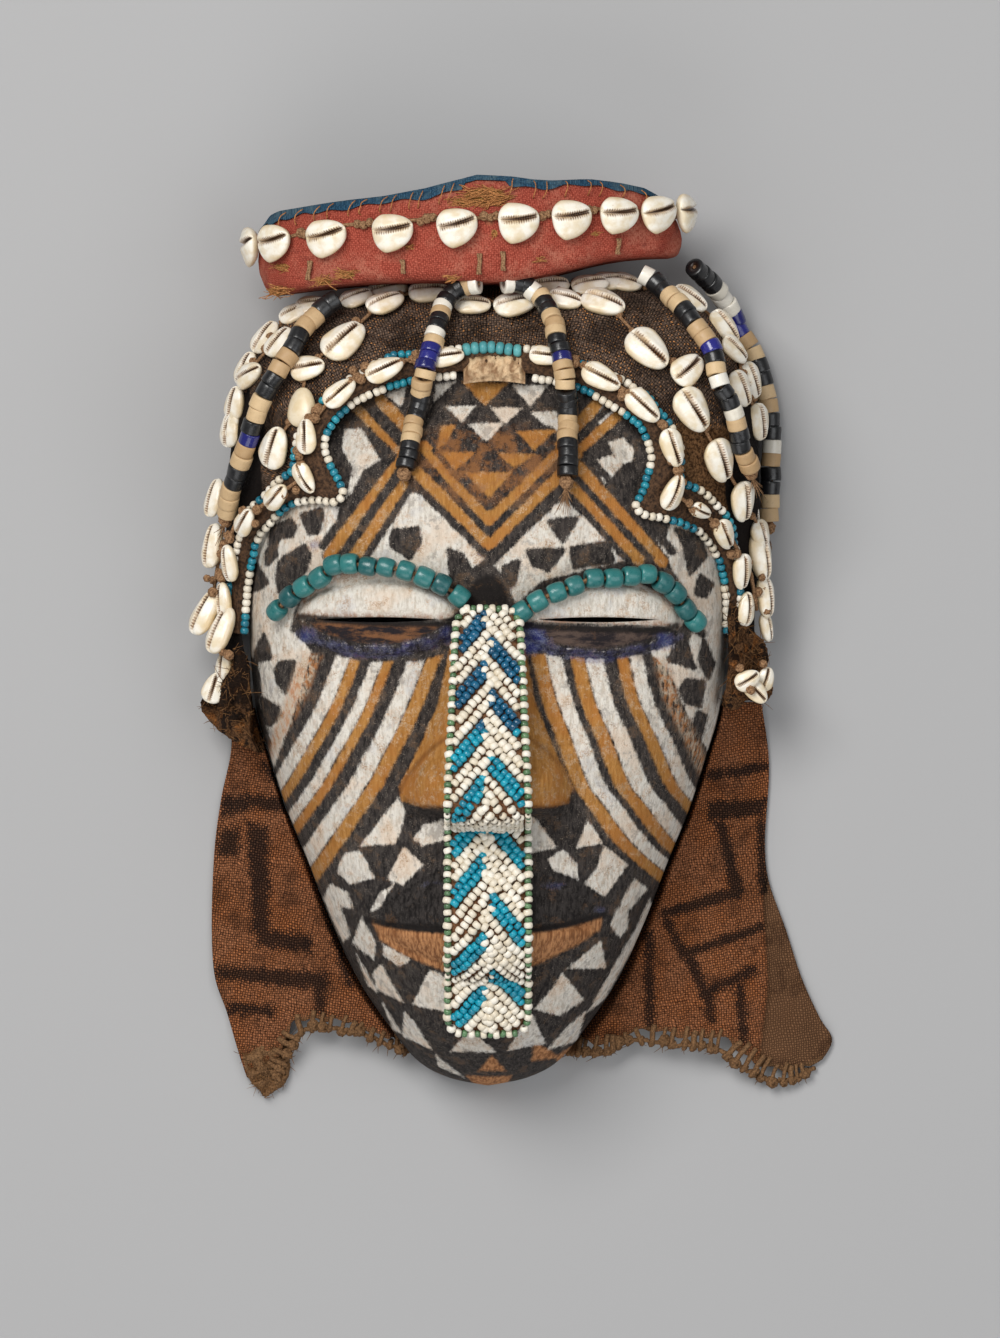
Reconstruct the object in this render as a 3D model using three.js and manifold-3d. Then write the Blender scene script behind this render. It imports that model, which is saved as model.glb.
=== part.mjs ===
// Cowrie shell face mask, lying on its back, face up. Millimetres, +Z out of the face, +Y towards the crown.
// A hollow carved wooden face is sewn into a cloth hood with a stuffed cap, with two cloth flaps beside it.
// The shapes are worked out about the midline of the face, with y = 0 on the line of the eye slits. The
// finished group is then moved, so that its origin is the centre of its own footprint on the ground.
import * as THREE from "three";
import { mergeVertices } from "three/addons/utils/BufferGeometryUtils.js";
import Module from "manifold-3d";

const wasm = await Module();
wasm.setup();

// Driving dimensions
const FACE = {
  centreY: -35, // middle of the dome that the face is carved from
  height: 92, // dome above the rear rim
  power: 2.6, // 2 is an ellipse, more is boxier
  crownPower: 0.8, // added to the power towards the crown
  wall: 8,
  columns: 28,
};
const EYE = { x: 46, halfWidth: 34, halfHeight: 15.5, slitHalf: 25, slitOpen: 1.1 };
const NOSE = { top: 6, tip: -77, underside: 6, halfTop: 6, halfWing: 36.5, rise: 30 };
const MOUTH = { y: -129, half: 48, upper: 30, lower: 17 };
const HOOD = {
  halfWidth: 113, // at the ears
  crown: 141,
  power: 4.5, // 2 is an ellipse in plan, more is boxier
  lean: 0.05, // the crown is higher towards the right
  crownHeight: 90, // of its dome over the ground, towards the crown
  earHeight: 50,
  domePower: 4,
  cloth: 2.5,
  clear: 3, // from the wood under it
  end: -33,
};
const EDGING = { inner: 0.8, outer: 10, thick: 2.4, lift: 2 };
const CAP = { x: -8, y: 163.5, z: 44, halfWidth: 88, halfDepth: 41, halfHeight: 20, tilt: 4.5, cover: 1.6 };
const COWRIE = { length: 17.6, width: 13, thick: 6.2 };
const STRAND = { radius: 4.1, pitch: 6.5, drop: 22, slack: 6 };
const BAND = { halfTop: 14, halfTip: 17.7, thick: 3.6, top: 3, bottom: -172, lift: 1.9, camber: 3.2 };
const BROW = { radius: 4.1, pitch: 8.1, lift: 5.7, sides: 8 };
const FLAP = { thick: 1.8, rows: 11, columns: 9, innerHeight: 22, floor: 0.6 };
const GAP = 0.4; // between neighbouring pieces

// Colour and roughness of each material
const LOOKS = {
  wood: [0x8a6a44, 0.6],
  hood: [0x33261f, 0.95],
  redCloth: [0xa0473c, 0.9],
  blueCloth: [0x2f5266, 0.85],
  shell: [0xe8ddc4, 0.35],
  seedBeads: [0xd8d2c0, 0.4],
  browBeads: [0x2f8c86, 0.3],
  discBeads: [0x8d7a5c, 0.5],
  flapCloth: [0x70452a, 0.95],
};

// The face's plan outline: half width at each height, from the chin to the top of the wood under the hood
const HALF_OUTLINE = [
  [0, -197.4], [17.4, -193.6], [29.5, -187], [43.5, -170], [55, -152.5], [66, -129], [76.9, -101],
  [85.5, -80], [92.6, -58], [98.4, -38], [101, -12], [101.4, 12], [99.5, 33], [94, 54], [82, 78],
  [60, 101], [31, 116], [0, 120],
];

// The hairline on the wood, from each temple up to the middle of the forehead
const HAIRLINE = {
  left: [
    [-103.7, -6], [-102.5, 10], [-100.4, 24], [-97, 36], [-92.4, 41.2], [-83.2, 49.1], [-71, 50.8],
    [-64.3, 50.2], [-61.4, 53.3], [-65.9, 62.6], [-69.3, 73], [-66.8, 80.6], [-60.1, 88.6], [-52.5, 93.7],
    [-34, 100.4], [3, 104.6],
  ],
  right: [
    [101.6, -6], [101.2, 9.2], [99.5, 20.2], [96.2, 29], [89.5, 37.4], [76, 42.8], [66, 44.6],
    [62.8, 47], [65.9, 54.6], [68.9, 68.5], [64.3, 81.1], [51.2, 90.7], [37.8, 98], [3, 104.6],
  ],
};

// Rows of brow beads, from the temple to the nose
const BROWS = {
  left: [[-89, 4], [-83, 10], [-70.5, 18], [-58, 23.3], [-50, 22.3], [-35, 19.5], [-19.5, 14], [-11.8, 9.8]],
  right: [[86.5, -1], [82, 4.5], [77.5, 10.8], [66, 18.8], [51.5, 17.4], [36.5, 14.5], [21, 8.4], [16.2, 5]],
};

// Strands of disc beads, from the cap down over the hood and the forehead
const STRANDS = [
  [[-63, 135], [-69.5, 130], [-77, 122], [-82.5, 112.5], [-88.5, 102.5], [-94, 92.5], [-98, 82.5],
    [-101.3, 73], [-104.8, 62.5], [-108, 52.5], [-110, 44]],
  [[-15.5, 139.5], [-18.3, 133], [-20.3, 126], [-22.3, 119], [-24.5, 111], [-26.5, 101], [-28.6, 90.5],
    [-31, 80], [-33, 70.5], [-34.5, 63]],
  [[21.5, 137.5], [24.5, 131], [27.5, 124], [29, 116], [30.5, 109], [32, 102], [33, 92.5], [33.2, 81.5],
    [33.2, 68.5], [32.8, 59.5]],
  [[64.5, 145.5], [69, 142.5], [74.5, 137.5], [82, 129.5], [87, 123], [92, 116], [95, 109], [97, 99],
    [101, 90.5], [104, 82], [106, 73], [109.5, 63.5]],
  [[87, 149], [93, 143.5], [98, 138], [103, 130], [107, 122], [111, 115], [115, 106], [117.5, 97.5],
    [119.3, 88], [120, 79.5], [120, 70], [120, 60], [119.5, 50], [119, 42]],
];

// Cowries on the hood that no strand crosses: centre and turn from the X axis in degrees
const HOOD_COWRIES = [
  [-6.3, 130, -15], [11.3, 130, 20], [-42.5, 131, 40], [-60, 115, 48],
  [-87.5, 72, 58], [-97.5, 103, 0], [48, 131.5, -40], [66, 112, -48], [82, 104, 38], [84, 87.5, -55],
  [95, 67, -60], [104.5, 50.5, 72],
];
// Each cloth flap's four edges in plan: top, hem, along the wood, and outside
const FLAPS = {
  left: {
    top: [[-101.6, -37], [-110, -38]],
    hem: [[-33.5, -183], [-44, -179], [-58.8, -173.7], [-79, -174], [-86, -186], [-92, -198], [-101, -198]],
    outside: [[-110, -38], [-109, -54], [-113.4, -76], [-116.5, -102], [-116.2, -150], [-111, -166],
      [-106, -183], [-101, -198]],
  },
  right: {
    top: [[101.6, -37], [116, -37]],
    hem: [[33.5, -183], [48.5, -183], [60, -178], [79, -179.6], [98, -182], [107.4, -189], [123, -195.5],
      [139.5, -190]],
    outside: [[116, -37], [119.2, -60], [117.5, -96], [119, -110], [126.3, -131], [133.4, -152.5],
      [141, -169], [146, -178], [139.5, -190]],
  },
};
// Cowries round the front of the cap: degrees round its oval section, from its right end
const CAP_COWRIES = [9, 29.5, 46, 61.5, 76.5, 93, 110.5, 131, 153, 174];

const clamp = THREE.MathUtils.clamp;
const toAngle = THREE.MathUtils.degToRad;
const ramp = (v, lo, hi) => clamp((v - lo) / (hi - lo), 0, 1);
const smooth = (v, lo, hi) => ramp(v, lo, hi) ** 2 * (3 - 2 * ramp(v, lo, hi));
const hump = (x, y, cx, cy, rx, ry) => Math.exp(-(((x - cx) / rx) ** 2) - ((y - cy) / ry) ** 2);
const curve = (points) =>
  new THREE.CatmullRomCurve3(points.map(([x, y]) => new THREE.Vector3(x, y, 0)), false, "centripetal");
const lerp = THREE.MathUtils.lerp;

// Distance from a centre to an outline, looked up by direction.
function polar(points, centreY) {
  const rows = points.map((p) => [Math.atan2(p.y - centreY, p.x), Math.hypot(p.x, p.y - centreY)]);
  rows.sort((a, b) => a[0] - b[0]);
  const turn = (a) => THREE.MathUtils.euclideanModulo(a, 2 * Math.PI);
  return (angle) => {
    const wanted = turn(angle + Math.PI) - Math.PI;
    const i = Math.max(0, rows.findIndex((row) => row[0] >= wanted));
    const [a1, r1] = rows[i];
    const [a0, r0] = rows[(i + rows.length - 1) % rows.length];
    return lerp(r0, r1, clamp(turn(wanted - a0) / Math.max(turn(a1 - a0), 1e-9), 0, 1));
  };
}

// A closed solid from faces over shared vertices.
class Mould {
  vertices = [];
  triangles = [];
  point(x, y, z) {
    return this.vertices.push(x, y, z) / 3 - 1;
  }
  face(...ids) {
    for (let i = 2; i < ids.length; i++) this.triangles.push(ids[0], ids[i - 1], ids[i]);
  }
  // A band of quads between two rows of points.
  strip(a, b, closed) {
    const last = closed ? a.length : a.length - 1;
    for (let k = 0; k < last; k++) {
      const n = (k + 1) % a.length;
      this.face(a[k], b[k], b[n], a[n]);
    }
  }
  // Vertices merged and turned so that the faces point outwards.
  geometry() {
    const geometry = new THREE.BufferGeometry();
    geometry.setAttribute("position", new THREE.Float32BufferAttribute(this.vertices, 3));
    geometry.setIndex(this.triangles);
    return outwards(geometry);
  }
}

function solidOf(geometry) {
  const bare = new THREE.BufferGeometry();
  bare.setAttribute("position", geometry.getAttribute("position"));
  bare.setIndex(geometry.index);
  const merged = mergeVertices(bare, 1e-3);
  return new wasm.Manifold(
    new wasm.Mesh({
      numProp: 3,
      vertProperties: merged.attributes.position.array,
      triVerts: new Uint32Array(merged.index.array),
    }),
  );
}

function outwards(geometry) {
  if (solidOf(geometry).volume() > 0) return geometry;
  const index = geometry.index.array;
  for (let i = 0; i < index.length; i += 3) [index[i + 1], index[i + 2]] = [index[i + 2], index[i + 1]];
  return geometry;
}

function geometryOf(solid) {
  const { vertProperties, triVerts } = solid.getMesh();
  return new THREE.BufferGeometry()
    .setAttribute("position", new THREE.BufferAttribute(vertProperties, 3))
    .setIndex(new THREE.BufferAttribute(triVerts, 1));
}

// A sheet with thickness: rows by columns of outer and inner points, closed round its four edges.
function sheet(rows, columns, outer, inner) {
  const mould = new Mould();
  const grid = (at) =>
    Array.from({ length: rows + 1 }, (_, i) =>
      Array.from({ length: columns + 1 }, (_, j) => mould.point(...at(i / rows, j / columns))),
    );
  const top = grid(outer);
  const under = grid(inner).map((row) => row.reverse());
  const loops = top.map((row, i) => [...row, ...under[i]]);
  for (let i = 0; i < rows; i++) mould.strip(loops[i], loops[i + 1], true);
  const close = (loop, put) => {
    for (let j = 0; j < columns; j++) {
      const back = loop.length - 1 - j;
      put(loop[j], loop[j + 1], loop[back - 1], loop[back]);
    }
  };
  close(loops[0], (...ids) => mould.face(...ids));
  close(loops[rows], (...ids) => mould.face(...ids.reverse()));
  return mould.geometry();
}

// A tube through rings of points, closed flat at both ends.
function tube(rings) {
  const mould = new Mould();
  const ids = rings.map((ring) => ring.map((p) => mould.point(...p)));
  for (let i = 1; i < ids.length; i++) mould.strip(ids[i - 1], ids[i], true);
  mould.face(...ids[0]);
  mould.face(...ids.at(-1).reverse());
  return mould.geometry();
}

// The carved face

const side = (sign) => curve(HALF_OUTLINE.map(([x, y]) => [sign * x, y])).getPoints(160);
const rightSide = side(1);
const faceRadius = polar([...rightSide, ...side(-1).slice(1, -1)], FACE.centreY);
const chinY = HALF_OUTLINE[0][1];
const crownY = HALF_OUTLINE.at(-1)[1];

// Half width of the outline at a height.
function halfWidthAt(y) {
  const i = clamp(rightSide.findIndex((p) => p.y >= y), 1, rightSide.length - 1);
  const [a, b] = [rightSide[i - 1], rightSide[i]];
  return lerp(a.x, b.x, ramp(y, a.y, b.y));
}

function dome(reach, height, power) {
  return height * Math.max(0, 1 - Math.min(1, reach) ** power) ** (1 / power);
}

function noseRise(ax, y) {
  const down = ramp(-y, -NOSE.top, -NOSE.tip);
  const half = lerp(NOSE.halfTop, NOSE.halfWing, down);
  const end = y < NOSE.tip ? 1 - smooth(NOSE.tip - y, 0, NOSE.underside) : 1;
  const wing = 5 * hump(ax, y, 24, -66, 9, 9);
  return end * (NOSE.rise * down ** 0.75 * Math.max(0, 1 - (ax / half) ** 1.7) + wing);
}

function mouthRise(ax, y) {
  const across = Math.max(0.01, 1 - (ax / MOUTH.half) ** 2);
  const above = (y - MOUTH.y) / MOUTH.upper / across;
  const below = (MOUTH.y - y) / MOUTH.lower / across;
  const upper = above > 0 ? 9 * across * Math.max(0, 1 - above) : 0;
  const lower = below > 0 ? 9 * across * Math.sqrt(Math.max(0, 1 - below ** 2)) : 0;
  return 9 * hump(ax, y, 0, -122, 56, 34) + upper + lower;
}

// Height of the carving over the plain dome.
function relief(x, y) {
  const ax = Math.abs(x);
  const forehead = 12 * hump(ax, y, 0, 62, 62, 38);
  const socket = -12 * hump(ax, y, EYE.x, -2, 38, 20);
  const lidReach = Math.hypot((ax - EYE.x) / EYE.halfWidth, y / EYE.halfHeight);
  const lid = 11 * Math.sqrt(Math.max(0, 1 - lidReach ** 2.2));
  const cheek = 4 * hump(ax, y, 52, -48, 30, 26);
  const chin = 7 * hump(ax, y, 0, -172, 34, 20);
  return forehead + socket + lid + cheek + chin + noseRise(ax, y) + mouthRise(ax, y);
}

function faceZ(x, y) {
  const angle = Math.atan2(y - FACE.centreY, x);
  const reach = Math.hypot(x, y - FACE.centreY) / faceRadius(angle);
  const power = FACE.power + FACE.crownPower * Math.max(0, Math.sin(angle));
  return dome(reach, FACE.height, power) + relief(x, y) * smooth(1 - reach, 0, 0.14);
}

// A solid under a height field over the egg-shaped outline, down to a level.
function underSurface(rows, columns, height, halfWidth, bottom) {
  const mould = new Mould();
  const across = (j) => {
    const t = (2 * j) / columns - 1;
    return t * (1.3 - 0.3 * t * t);
  };
  const grid = rows.slice(1, -1).map((y) =>
    Array.from({ length: columns + 1 }, (_, j) => {
      const x = across(j) * halfWidth(y);
      return mould.point(x, y, j === 0 || j === columns ? bottom : height(x, y));
    }),
  );
  const chin = mould.point(0, rows[0], bottom);
  const crown = mould.point(0, rows.at(-1), bottom);
  for (let i = 1; i < grid.length; i++) mould.strip(grid[i - 1], grid[i], false);
  for (let j = 0; j < columns; j++) {
    mould.face(chin, grid[0][j], grid[0][j + 1]);
    mould.face(crown, grid.at(-1)[j + 1], grid.at(-1)[j]);
  }
  const edge = [chin, ...grid.map((row) => row.at(-1)), crown, ...grid.map((row) => row[0]).reverse()];
  const middle = mould.point(0, FACE.centreY, bottom);
  edge.forEach((id, k) => mould.face(middle, id, edge[(k + 1) % edge.length]));
  return mould.geometry();
}

// Heights of the face's rows: close together at both ends and where the carving turns sharply.
function faceRows(count, low, high, extra) {
  const even = Array.from({ length: count + 1 }, (_, i) => {
    const t = (2 * i) / count - 1;
    return lerp(low, high, (t * (1.35 - 0.35 * t * t) + 1) / 2);
  });
  const clearOf = (y) => extra.every((other) => Math.abs(y - other) > 3.5);
  const kept = even.filter((y, i) => i === 0 || i === count || clearOf(y));
  return [...kept, ...extra].sort((a, b) => a - b);
}

function carvedFace() {
  const turns = [-76.5, -80, -83.5, -128, -131, 1.5, -1.5];
  const outer = underSurface(faceRows(32, chinY, crownY, turns), FACE.columns, faceZ, halfWidthAt, 0);
  const shrink = (y) => lerp(chinY + FACE.wall, crownY - FACE.wall, ramp(y, chinY, crownY));
  const innerZ = (x, y) => {
    const angle = Math.atan2(y - FACE.centreY, x);
    const reach = Math.hypot(x, y - FACE.centreY) / (faceRadius(angle) - FACE.wall);
    return Math.max(-0.5, dome(reach, FACE.height - FACE.wall, FACE.power));
  };
  const innerHalf = (y) => Math.max(1, halfWidthAt(y) - FACE.wall - 0.5);
  const inner = underSurface(faceRows(12, chinY, crownY, []).map(shrink), 12, innerZ, innerHalf, -1);
  const cuts = [inner, eyeSlit(-1), eyeSlit(1)];
  return cuts.reduce((solid, cut) => solid.subtract(solidOf(cut)), solidOf(outer));
}

// A pointed lens that goes right through the wall.
function eyeSlit(sign) {
  const steps = 6;
  const edge = (way) =>
    Array.from({ length: steps + 1 }, (_, i) => {
      const t = way * (1 - (2 * i) / steps);
      return [t * EYE.slitHalf, way * (EYE.slitOpen * (1 - t * t) + 0.05)];
    });
  const outline = [...edge(1), ...edge(-1)];
  const loop = (z) => outline.map(([x, y]) => [sign * EYE.x + x, y, z]);
  return tube([loop(FACE.height / 2), loop(FACE.height * 1.4)]);
}

// The hood: cloth from the hairline out and down to a hem on the ground

// The hairline moved outwards, away from the middle of the face.
function hairline(which, out) {
  const line = curve(HAIRLINE[which]).getPoints(60);
  const way = which === "left" ? 1 : -1;
  return line.map((p, i) => {
    const along = line[Math.min(line.length - 1, i + 1)].clone().sub(line[Math.max(0, i - 1)]).normalize();
    return new THREE.Vector3(p.x - way * along.y * out, p.y + way * along.x * out, 0);
  });
}

const hoodStart = (() => {
  const rows = [...hairline("left", 0.5), ...hairline("right", 0.5)].filter((p) => p.y > -5);
  for (const y of [-50, -30, -15]) rows.push({ x: -104.5, y }, { x: 103.5, y });
  return polar(rows, 0);
})();

function hoodEnd(angle) {
  const c = Math.abs(Math.cos(angle));
  const s = Math.sin(angle);
  if (s < 0) return HOOD.halfWidth / c;
  const round = (c / HOOD.halfWidth) ** HOOD.power + (s / HOOD.crown) ** HOOD.power;
  return round ** (-1 / HOOD.power) * (1 + HOOD.lean * Math.cos(angle) * s);
}

// Height of the hood over a plan point, or of its inside where inset is the cloth's thickness.
function hoodZ(x, y, inset = 0) {
  const angle = Math.atan2(y, x);
  const height = lerp(HOOD.earHeight, HOOD.crownHeight, smooth(Math.sin(angle), 0, 0.8)) - inset;
  const reach = Math.hypot(x, y) / (hoodEnd(angle) - inset);
  const wood = faceZ(x, y) + HOOD.clear + HOOD.cloth - inset;
  return Math.max(wood * smooth(1 - reach, 0, 0.05), dome(reach, height, HOOD.domePower), 0);
}

// turn runs from the right ear over the crown to the left ear, drop from the hairline down to the hem.
const earAngle = Math.atan2(-HOOD.end, HOOD.halfWidth);
function hoodPoint(turn, drop, inset = 0) {
  const angle = lerp(-earAngle, Math.PI + earAngle, turn);
  const end = hoodEnd(angle) - inset;
  const start = Math.min(hoodStart(angle), end - 6);
  const r = lerp(start, end, Math.sin((Math.PI / 2) * drop));
  const [x, y] = [r * Math.cos(angle), r * Math.sin(angle)];
  return [x, y, drop < 1 ? hoodZ(x, y, inset) : 0];
}

const hood = () => sheet(46, 6, (u, v) => hoodPoint(u, v), (u, v) => hoodPoint(u, v, HOOD.cloth));

// The surface that the strands lie on: the hood with its edging, or the bare wood inside the hairline.
function topZ(x, y) {
  const onHood = Math.hypot(x, y) > hoodStart(Math.atan2(y, x)) - 1;
  return onHood ? hoodZ(x, y) + EDGING.lift + EDGING.thick : faceZ(x, y);
}

// The highest of a surface within a reach of a point.
const NEIGHBOURS = [[0, 0], [1, 0], [-1, 0], [0, 1], [0, -1]];
const highest = (height, reach) => (x, y) =>
  Math.max(...NEIGHBOURS.map(([dx, dy]) => height(x + dx * reach, y + dy * reach)));

function normalAt(height, x, y, d = 2) {
  const slope = [height(x - d, y) - height(x + d, y), height(x, y - d) - height(x, y + d)];
  const normal = new THREE.Vector3(slope[0], slope[1], 2 * d).normalize();
  normal.z = Math.max(normal.z, 0.35);
  return normal.normalize();
}

function over(height, x, y, lift) {
  const normal = normalAt(height, x, y);
  return { at: new THREE.Vector3(x, y, height(x, y)).addScaledVector(normal, lift), normal };
}

// Loops round a line: each place has a point, a normal, a half width across and a half height.
function loopsAlong(places, sides, turn = 0) {
  return places.map(({ at, normal, wide, high }, i) => {
    const [before, after] = [places[Math.max(0, i - 1)], places[Math.min(places.length - 1, i + 1)]];
    const along = after.at.clone().sub(before.at).normalize();
    const across = new THREE.Vector3().crossVectors(normal, along).normalize();
    const up = new THREE.Vector3().crossVectors(along, across).normalize();
    return Array.from({ length: sides }, (_, k) => {
      const a = (2 * Math.PI * k) / sides + turn;
      const [w, h] = [wide * Math.cos(a), high * Math.sin(a)];
      return at.clone().addScaledVector(across, w).addScaledVector(up, h).toArray();
    });
  });
}

// The edging strip round the hairline, a flat ribbon on the hood
function edging() {
  const steps = 56;
  const inner = [...hairline("right", EDGING.inner), ...hairline("left", EDGING.inner).reverse()];
  const outer = [...hairline("right", EDGING.outer), ...hairline("left", EDGING.outer).reverse()];
  const at = (line, u) => line[Math.round(u * (line.length - 1))];
  const point = (u, v, lift) => {
    const p = at(inner, u).clone().lerp(at(outer, u), v);
    return [p.x, p.y, highest(hoodZ, 2)(p.x, p.y) + lift];
  };
  const top = EDGING.lift + EDGING.thick;
  return sheet(steps, 1, (u, v) => point(u, v, top), (u, v) => point(u, v, EDGING.lift));
}

// The band of beadwork down the nose, over its tip, and on over the mouth to the chin
function noseBand() {
  const half = (y) => lerp(BAND.halfTop, BAND.halfTip, ramp(-y, -BAND.top, -NOSE.tip));
  const at = (lift) => (u, v) => {
    const y = lerp(BAND.top, BAND.bottom, u);
    const across = [-1, -0.6, -0.2, 0.2, 0.6, 1].map((t) => t * half(y));
    const ridge = Math.max(...across.map((x) => faceZ(x, y)));
    const t = 2 * v - 1;
    const camber = BAND.camber * (1 - t * t) * smooth(-y, -BAND.top, 40);
    return [t * half(y), y, ridge + camber + BAND.lift + lift];
  };
  return sheet(28, 2, at(BAND.thick), at(0));
}

// A chain of beads that touch, as one solid: rings round a line, narrow between the beads
function beadChain(points, height, { radius, pitch, lift, sides }) {
  const line = curve(points);
  const count = Math.round(line.getLength() / pitch);
  const places = [];
  for (let i = 0; i < count; i++)
    for (const [t, size] of [[0, 0.55], [0.25, 1], [0.75, 1]]) {
      const p = line.getPointAt((i + t) / count);
      places.push({ ...over(height, p.x, p.y, lift), wide: radius * size, high: radius * size });
    }
  const end = line.getPointAt(1);
  places.push({ ...over(height, end.x, end.y, lift), wide: radius * 0.55, high: radius * 0.55 });
  return tube(loopsAlong(places, sides));
}

// A strand of beads that hangs from the cap's front edge and lies over the hood and the forehead
function strand(points) {
  const line = curve(points);
  const count = 2 * Math.round(line.getLength() / STRAND.pitch / 2);
  const spots = Array.from({ length: 2 * count + 1 }, (_, i) => line.getPointAt(i / count / 2));
  const rest = spots.map(({ x, y }) => {
    return highest(topZ, 3)(x, y) + STRAND.radius + GAP;
  });
  const reach = (spots[0].x - CAP.x) / CAP.halfWidth;
  const start = CAP.z + CAP.halfDepth * Math.sqrt(Math.max(0, 1 - reach ** 2)) - 2 * STRAND.radius;
  const z = rest.map((low, i) =>
    Math.max(low, lerp(start, low, smooth(spots[i].distanceTo(spots[0]), 0, STRAND.drop))));
  for (let pass = 0; pass < STRAND.slack; pass++)
    for (let i = 1; i < z.length - 1; i++) z[i] = Math.max(rest[i], (z[i - 1] + z[i + 1]) / 2);
  const normal = new THREE.Vector3(0, 0, 1);
  const places = spots.map((p, i) => {
    const size = STRAND.radius * (i % 2 ? 1 : 0.8);
    return { at: new THREE.Vector3(p.x, p.y, z[i]), normal, wide: size, high: size };
  });
  return tube(loopsAlong(places, 6));
}

// The stuffed cap: a drum with an oval section, its axis along Y, leaning to one side

const capFrame = new THREE.Matrix4()
  .makeTranslation(CAP.x, CAP.y, CAP.z)
  .multiply(new THREE.Matrix4().makeRotationZ(toAngle(CAP.tilt)));
const inCap = (x, y, z) => new THREE.Vector3(x, y, z).applyMatrix4(capFrame);

function capRing(y, grow, sides = 32) {
  return Array.from({ length: sides }, (_, k) => {
    const a = (2 * Math.PI * k) / sides;
    const low = Math.sin(a) < 0 ? 0.985 : 1;
    const [x, z] = [(CAP.halfWidth + grow) * Math.cos(a), (CAP.halfDepth + grow) * Math.sin(a) * low];
    return inCap(x, y, z).toArray();
  });
}

const cap = () => tube([[-1, -5], [-0.8, -1], [0, 1], [0.75, 0], [1, -4]].map(([t, grow]) =>
  capRing(t * CAP.halfHeight, grow)));

// The blue cloth over the top end of the cap, pulled a little way down over its edge
function capCover() {
  const top = CAP.halfHeight + GAP;
  const hem = [[0.62, 1.2], [0.78, 0.6], [1, -3]].map(([t, grow]) => [t * CAP.halfHeight, grow + GAP]);
  const layer = (thick) => hem.map(([y, grow]) => capRing(y, grow + thick));
  const skin = tube([...layer(CAP.cover), capRing(top + CAP.cover, -6)]);
  const core = tube([capRing(0, 1.4 + GAP), ...layer(0), capRing(top, -5)]);
  return geometryOf(solidOf(skin).subtract(solidOf(core)));
}

// A cowrie lying on its back along a direction, with its slit side outwards
function cowrie(at, normal, along) {
  const half = COWRIE.length / 2;
  const places = [-0.97, -0.7, -0.2, 0.35, 0.75, 0.98].map((t) => {
    const full = Math.sqrt(1 - t * t) * (1 - 0.16 * t);
    return {
      at: at.clone().addScaledVector(along, t * half),
      normal,
      wide: (COWRIE.width / 2) * full,
      high: (COWRIE.thick / 2) * Math.sqrt(full),
    };
  });
  return tube(loopsAlong(places, 8, Math.PI / 8));
}

// A cloth flap between its four edges, sloping from the side of the wood down to the ground
function flap(which) {
  const { top, hem, outside } = FLAPS[which];
  const sign = Math.sign(top[0][0]);
  const [topLine, hemLine, outsideLine] = [curve(top), curve(hem), curve(outside)];
  const woodSide = (v) => {
    const y = lerp(top[0][1], hem[0][1], v);
    return new THREE.Vector3(sign * (halfWidthAt(y) + 1.4), y, 0);
  };
  const plan = (u, v) => {
    const [a, b] = [topLine.getPointAt(u), hemLine.getPointAt(u)];
    const [c, d] = [woodSide(v), outsideLine.getPointAt(v)];
    const corner = (line, t) => line.getPointAt(t);
    const mix = (axis) =>
      (1 - v) * a[axis] + v * b[axis] + (1 - u) * c[axis] + u * d[axis]
      - (1 - u) * (1 - v) * corner(topLine, 0)[axis] - u * (1 - v) * corner(topLine, 1)[axis]
      - (1 - u) * v * corner(hemLine, 0)[axis] - u * v * corner(hemLine, 1)[axis];
    return [mix("x"), mix("y")];
  };
  const height = (u, v) =>
    FLAP.floor + FLAP.innerHeight * (1 - u) ** 1.4 * (1 - 0.45 * v) + 3 * Math.sin(Math.PI * u) * (0.4 + v);
  const layer = (lift) => (v, u) => [...plan(u, v), height(u, v) + lift];
  return sheet(FLAP.rows, FLAP.columns, layer(FLAP.thick), layer(0));
}

const group = new THREE.Group();
function add(name, geometry, look) {
  const [color, roughness] = LOOKS[look];
  const mesh = new THREE.Mesh(geometry, new THREE.MeshStandardMaterial({ color, roughness, metalness: 0 }));
  mesh.name = name;
  group.add(mesh);
}

add("wood_face", geometryOf(carvedFace()), "wood");
add("hood", hood(), "hood");
add("hairline_edging", edging(), "seedBeads");
add("nose_band", noseBand(), "seedBeads");
add("cap_band", cap(), "redCloth");
add("cap_cover", capCover(), "blueCloth");
for (const which of ["left", "right"]) {
  add(`brow_beads_${which}`, beadChain(BROWS[which], highest(faceZ, 3), BROW), "browBeads");
  add(`cloth_flap_${which}`, flap(which), "flapCloth");
}
CAP_COWRIES.forEach((degrees, i) => {
  const a = toAngle(degrees);
  const normal = new THREE.Vector3(CAP.halfDepth * Math.cos(a), 0, CAP.halfWidth * Math.sin(a)).normalize();
  const along = new THREE.Vector3(-normal.z, 0, normal.x);
  const spot = inCap(CAP.halfWidth * Math.cos(a), 2, CAP.halfDepth * Math.sin(a));
  spot.addScaledVector(normal, COWRIE.thick / 2 + 1 + GAP + 0.4);
  add(`cap_cowrie_${i + 1}`, cowrie(spot, normal, along), "shell");
});
HOOD_COWRIES.forEach(([x, y, degrees], i) => {
  const { at, normal } = over(hoodZ, x, y, COWRIE.thick / 2 + GAP + 0.8);
  const a = toAngle(degrees);
  const along = new THREE.Vector3(Math.cos(a), Math.sin(a), 0);
  along.addScaledVector(normal, -along.dot(normal)).normalize();
  add(`hood_cowrie_${i + 1}`, cowrie(at, normal, along), "shell");
});

STRANDS.forEach((points, i) => add(`bead_strand_${i + 1}`, strand(points), "discBeads"));

// The origin goes to the centre of the footprint, on the ground.
const box = new THREE.Box3().setFromObject(group);
group.position.set(-(box.min.x + box.max.x) / 2, -(box.min.y + box.max.y) / 2, -box.min.z);

export default group;
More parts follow.
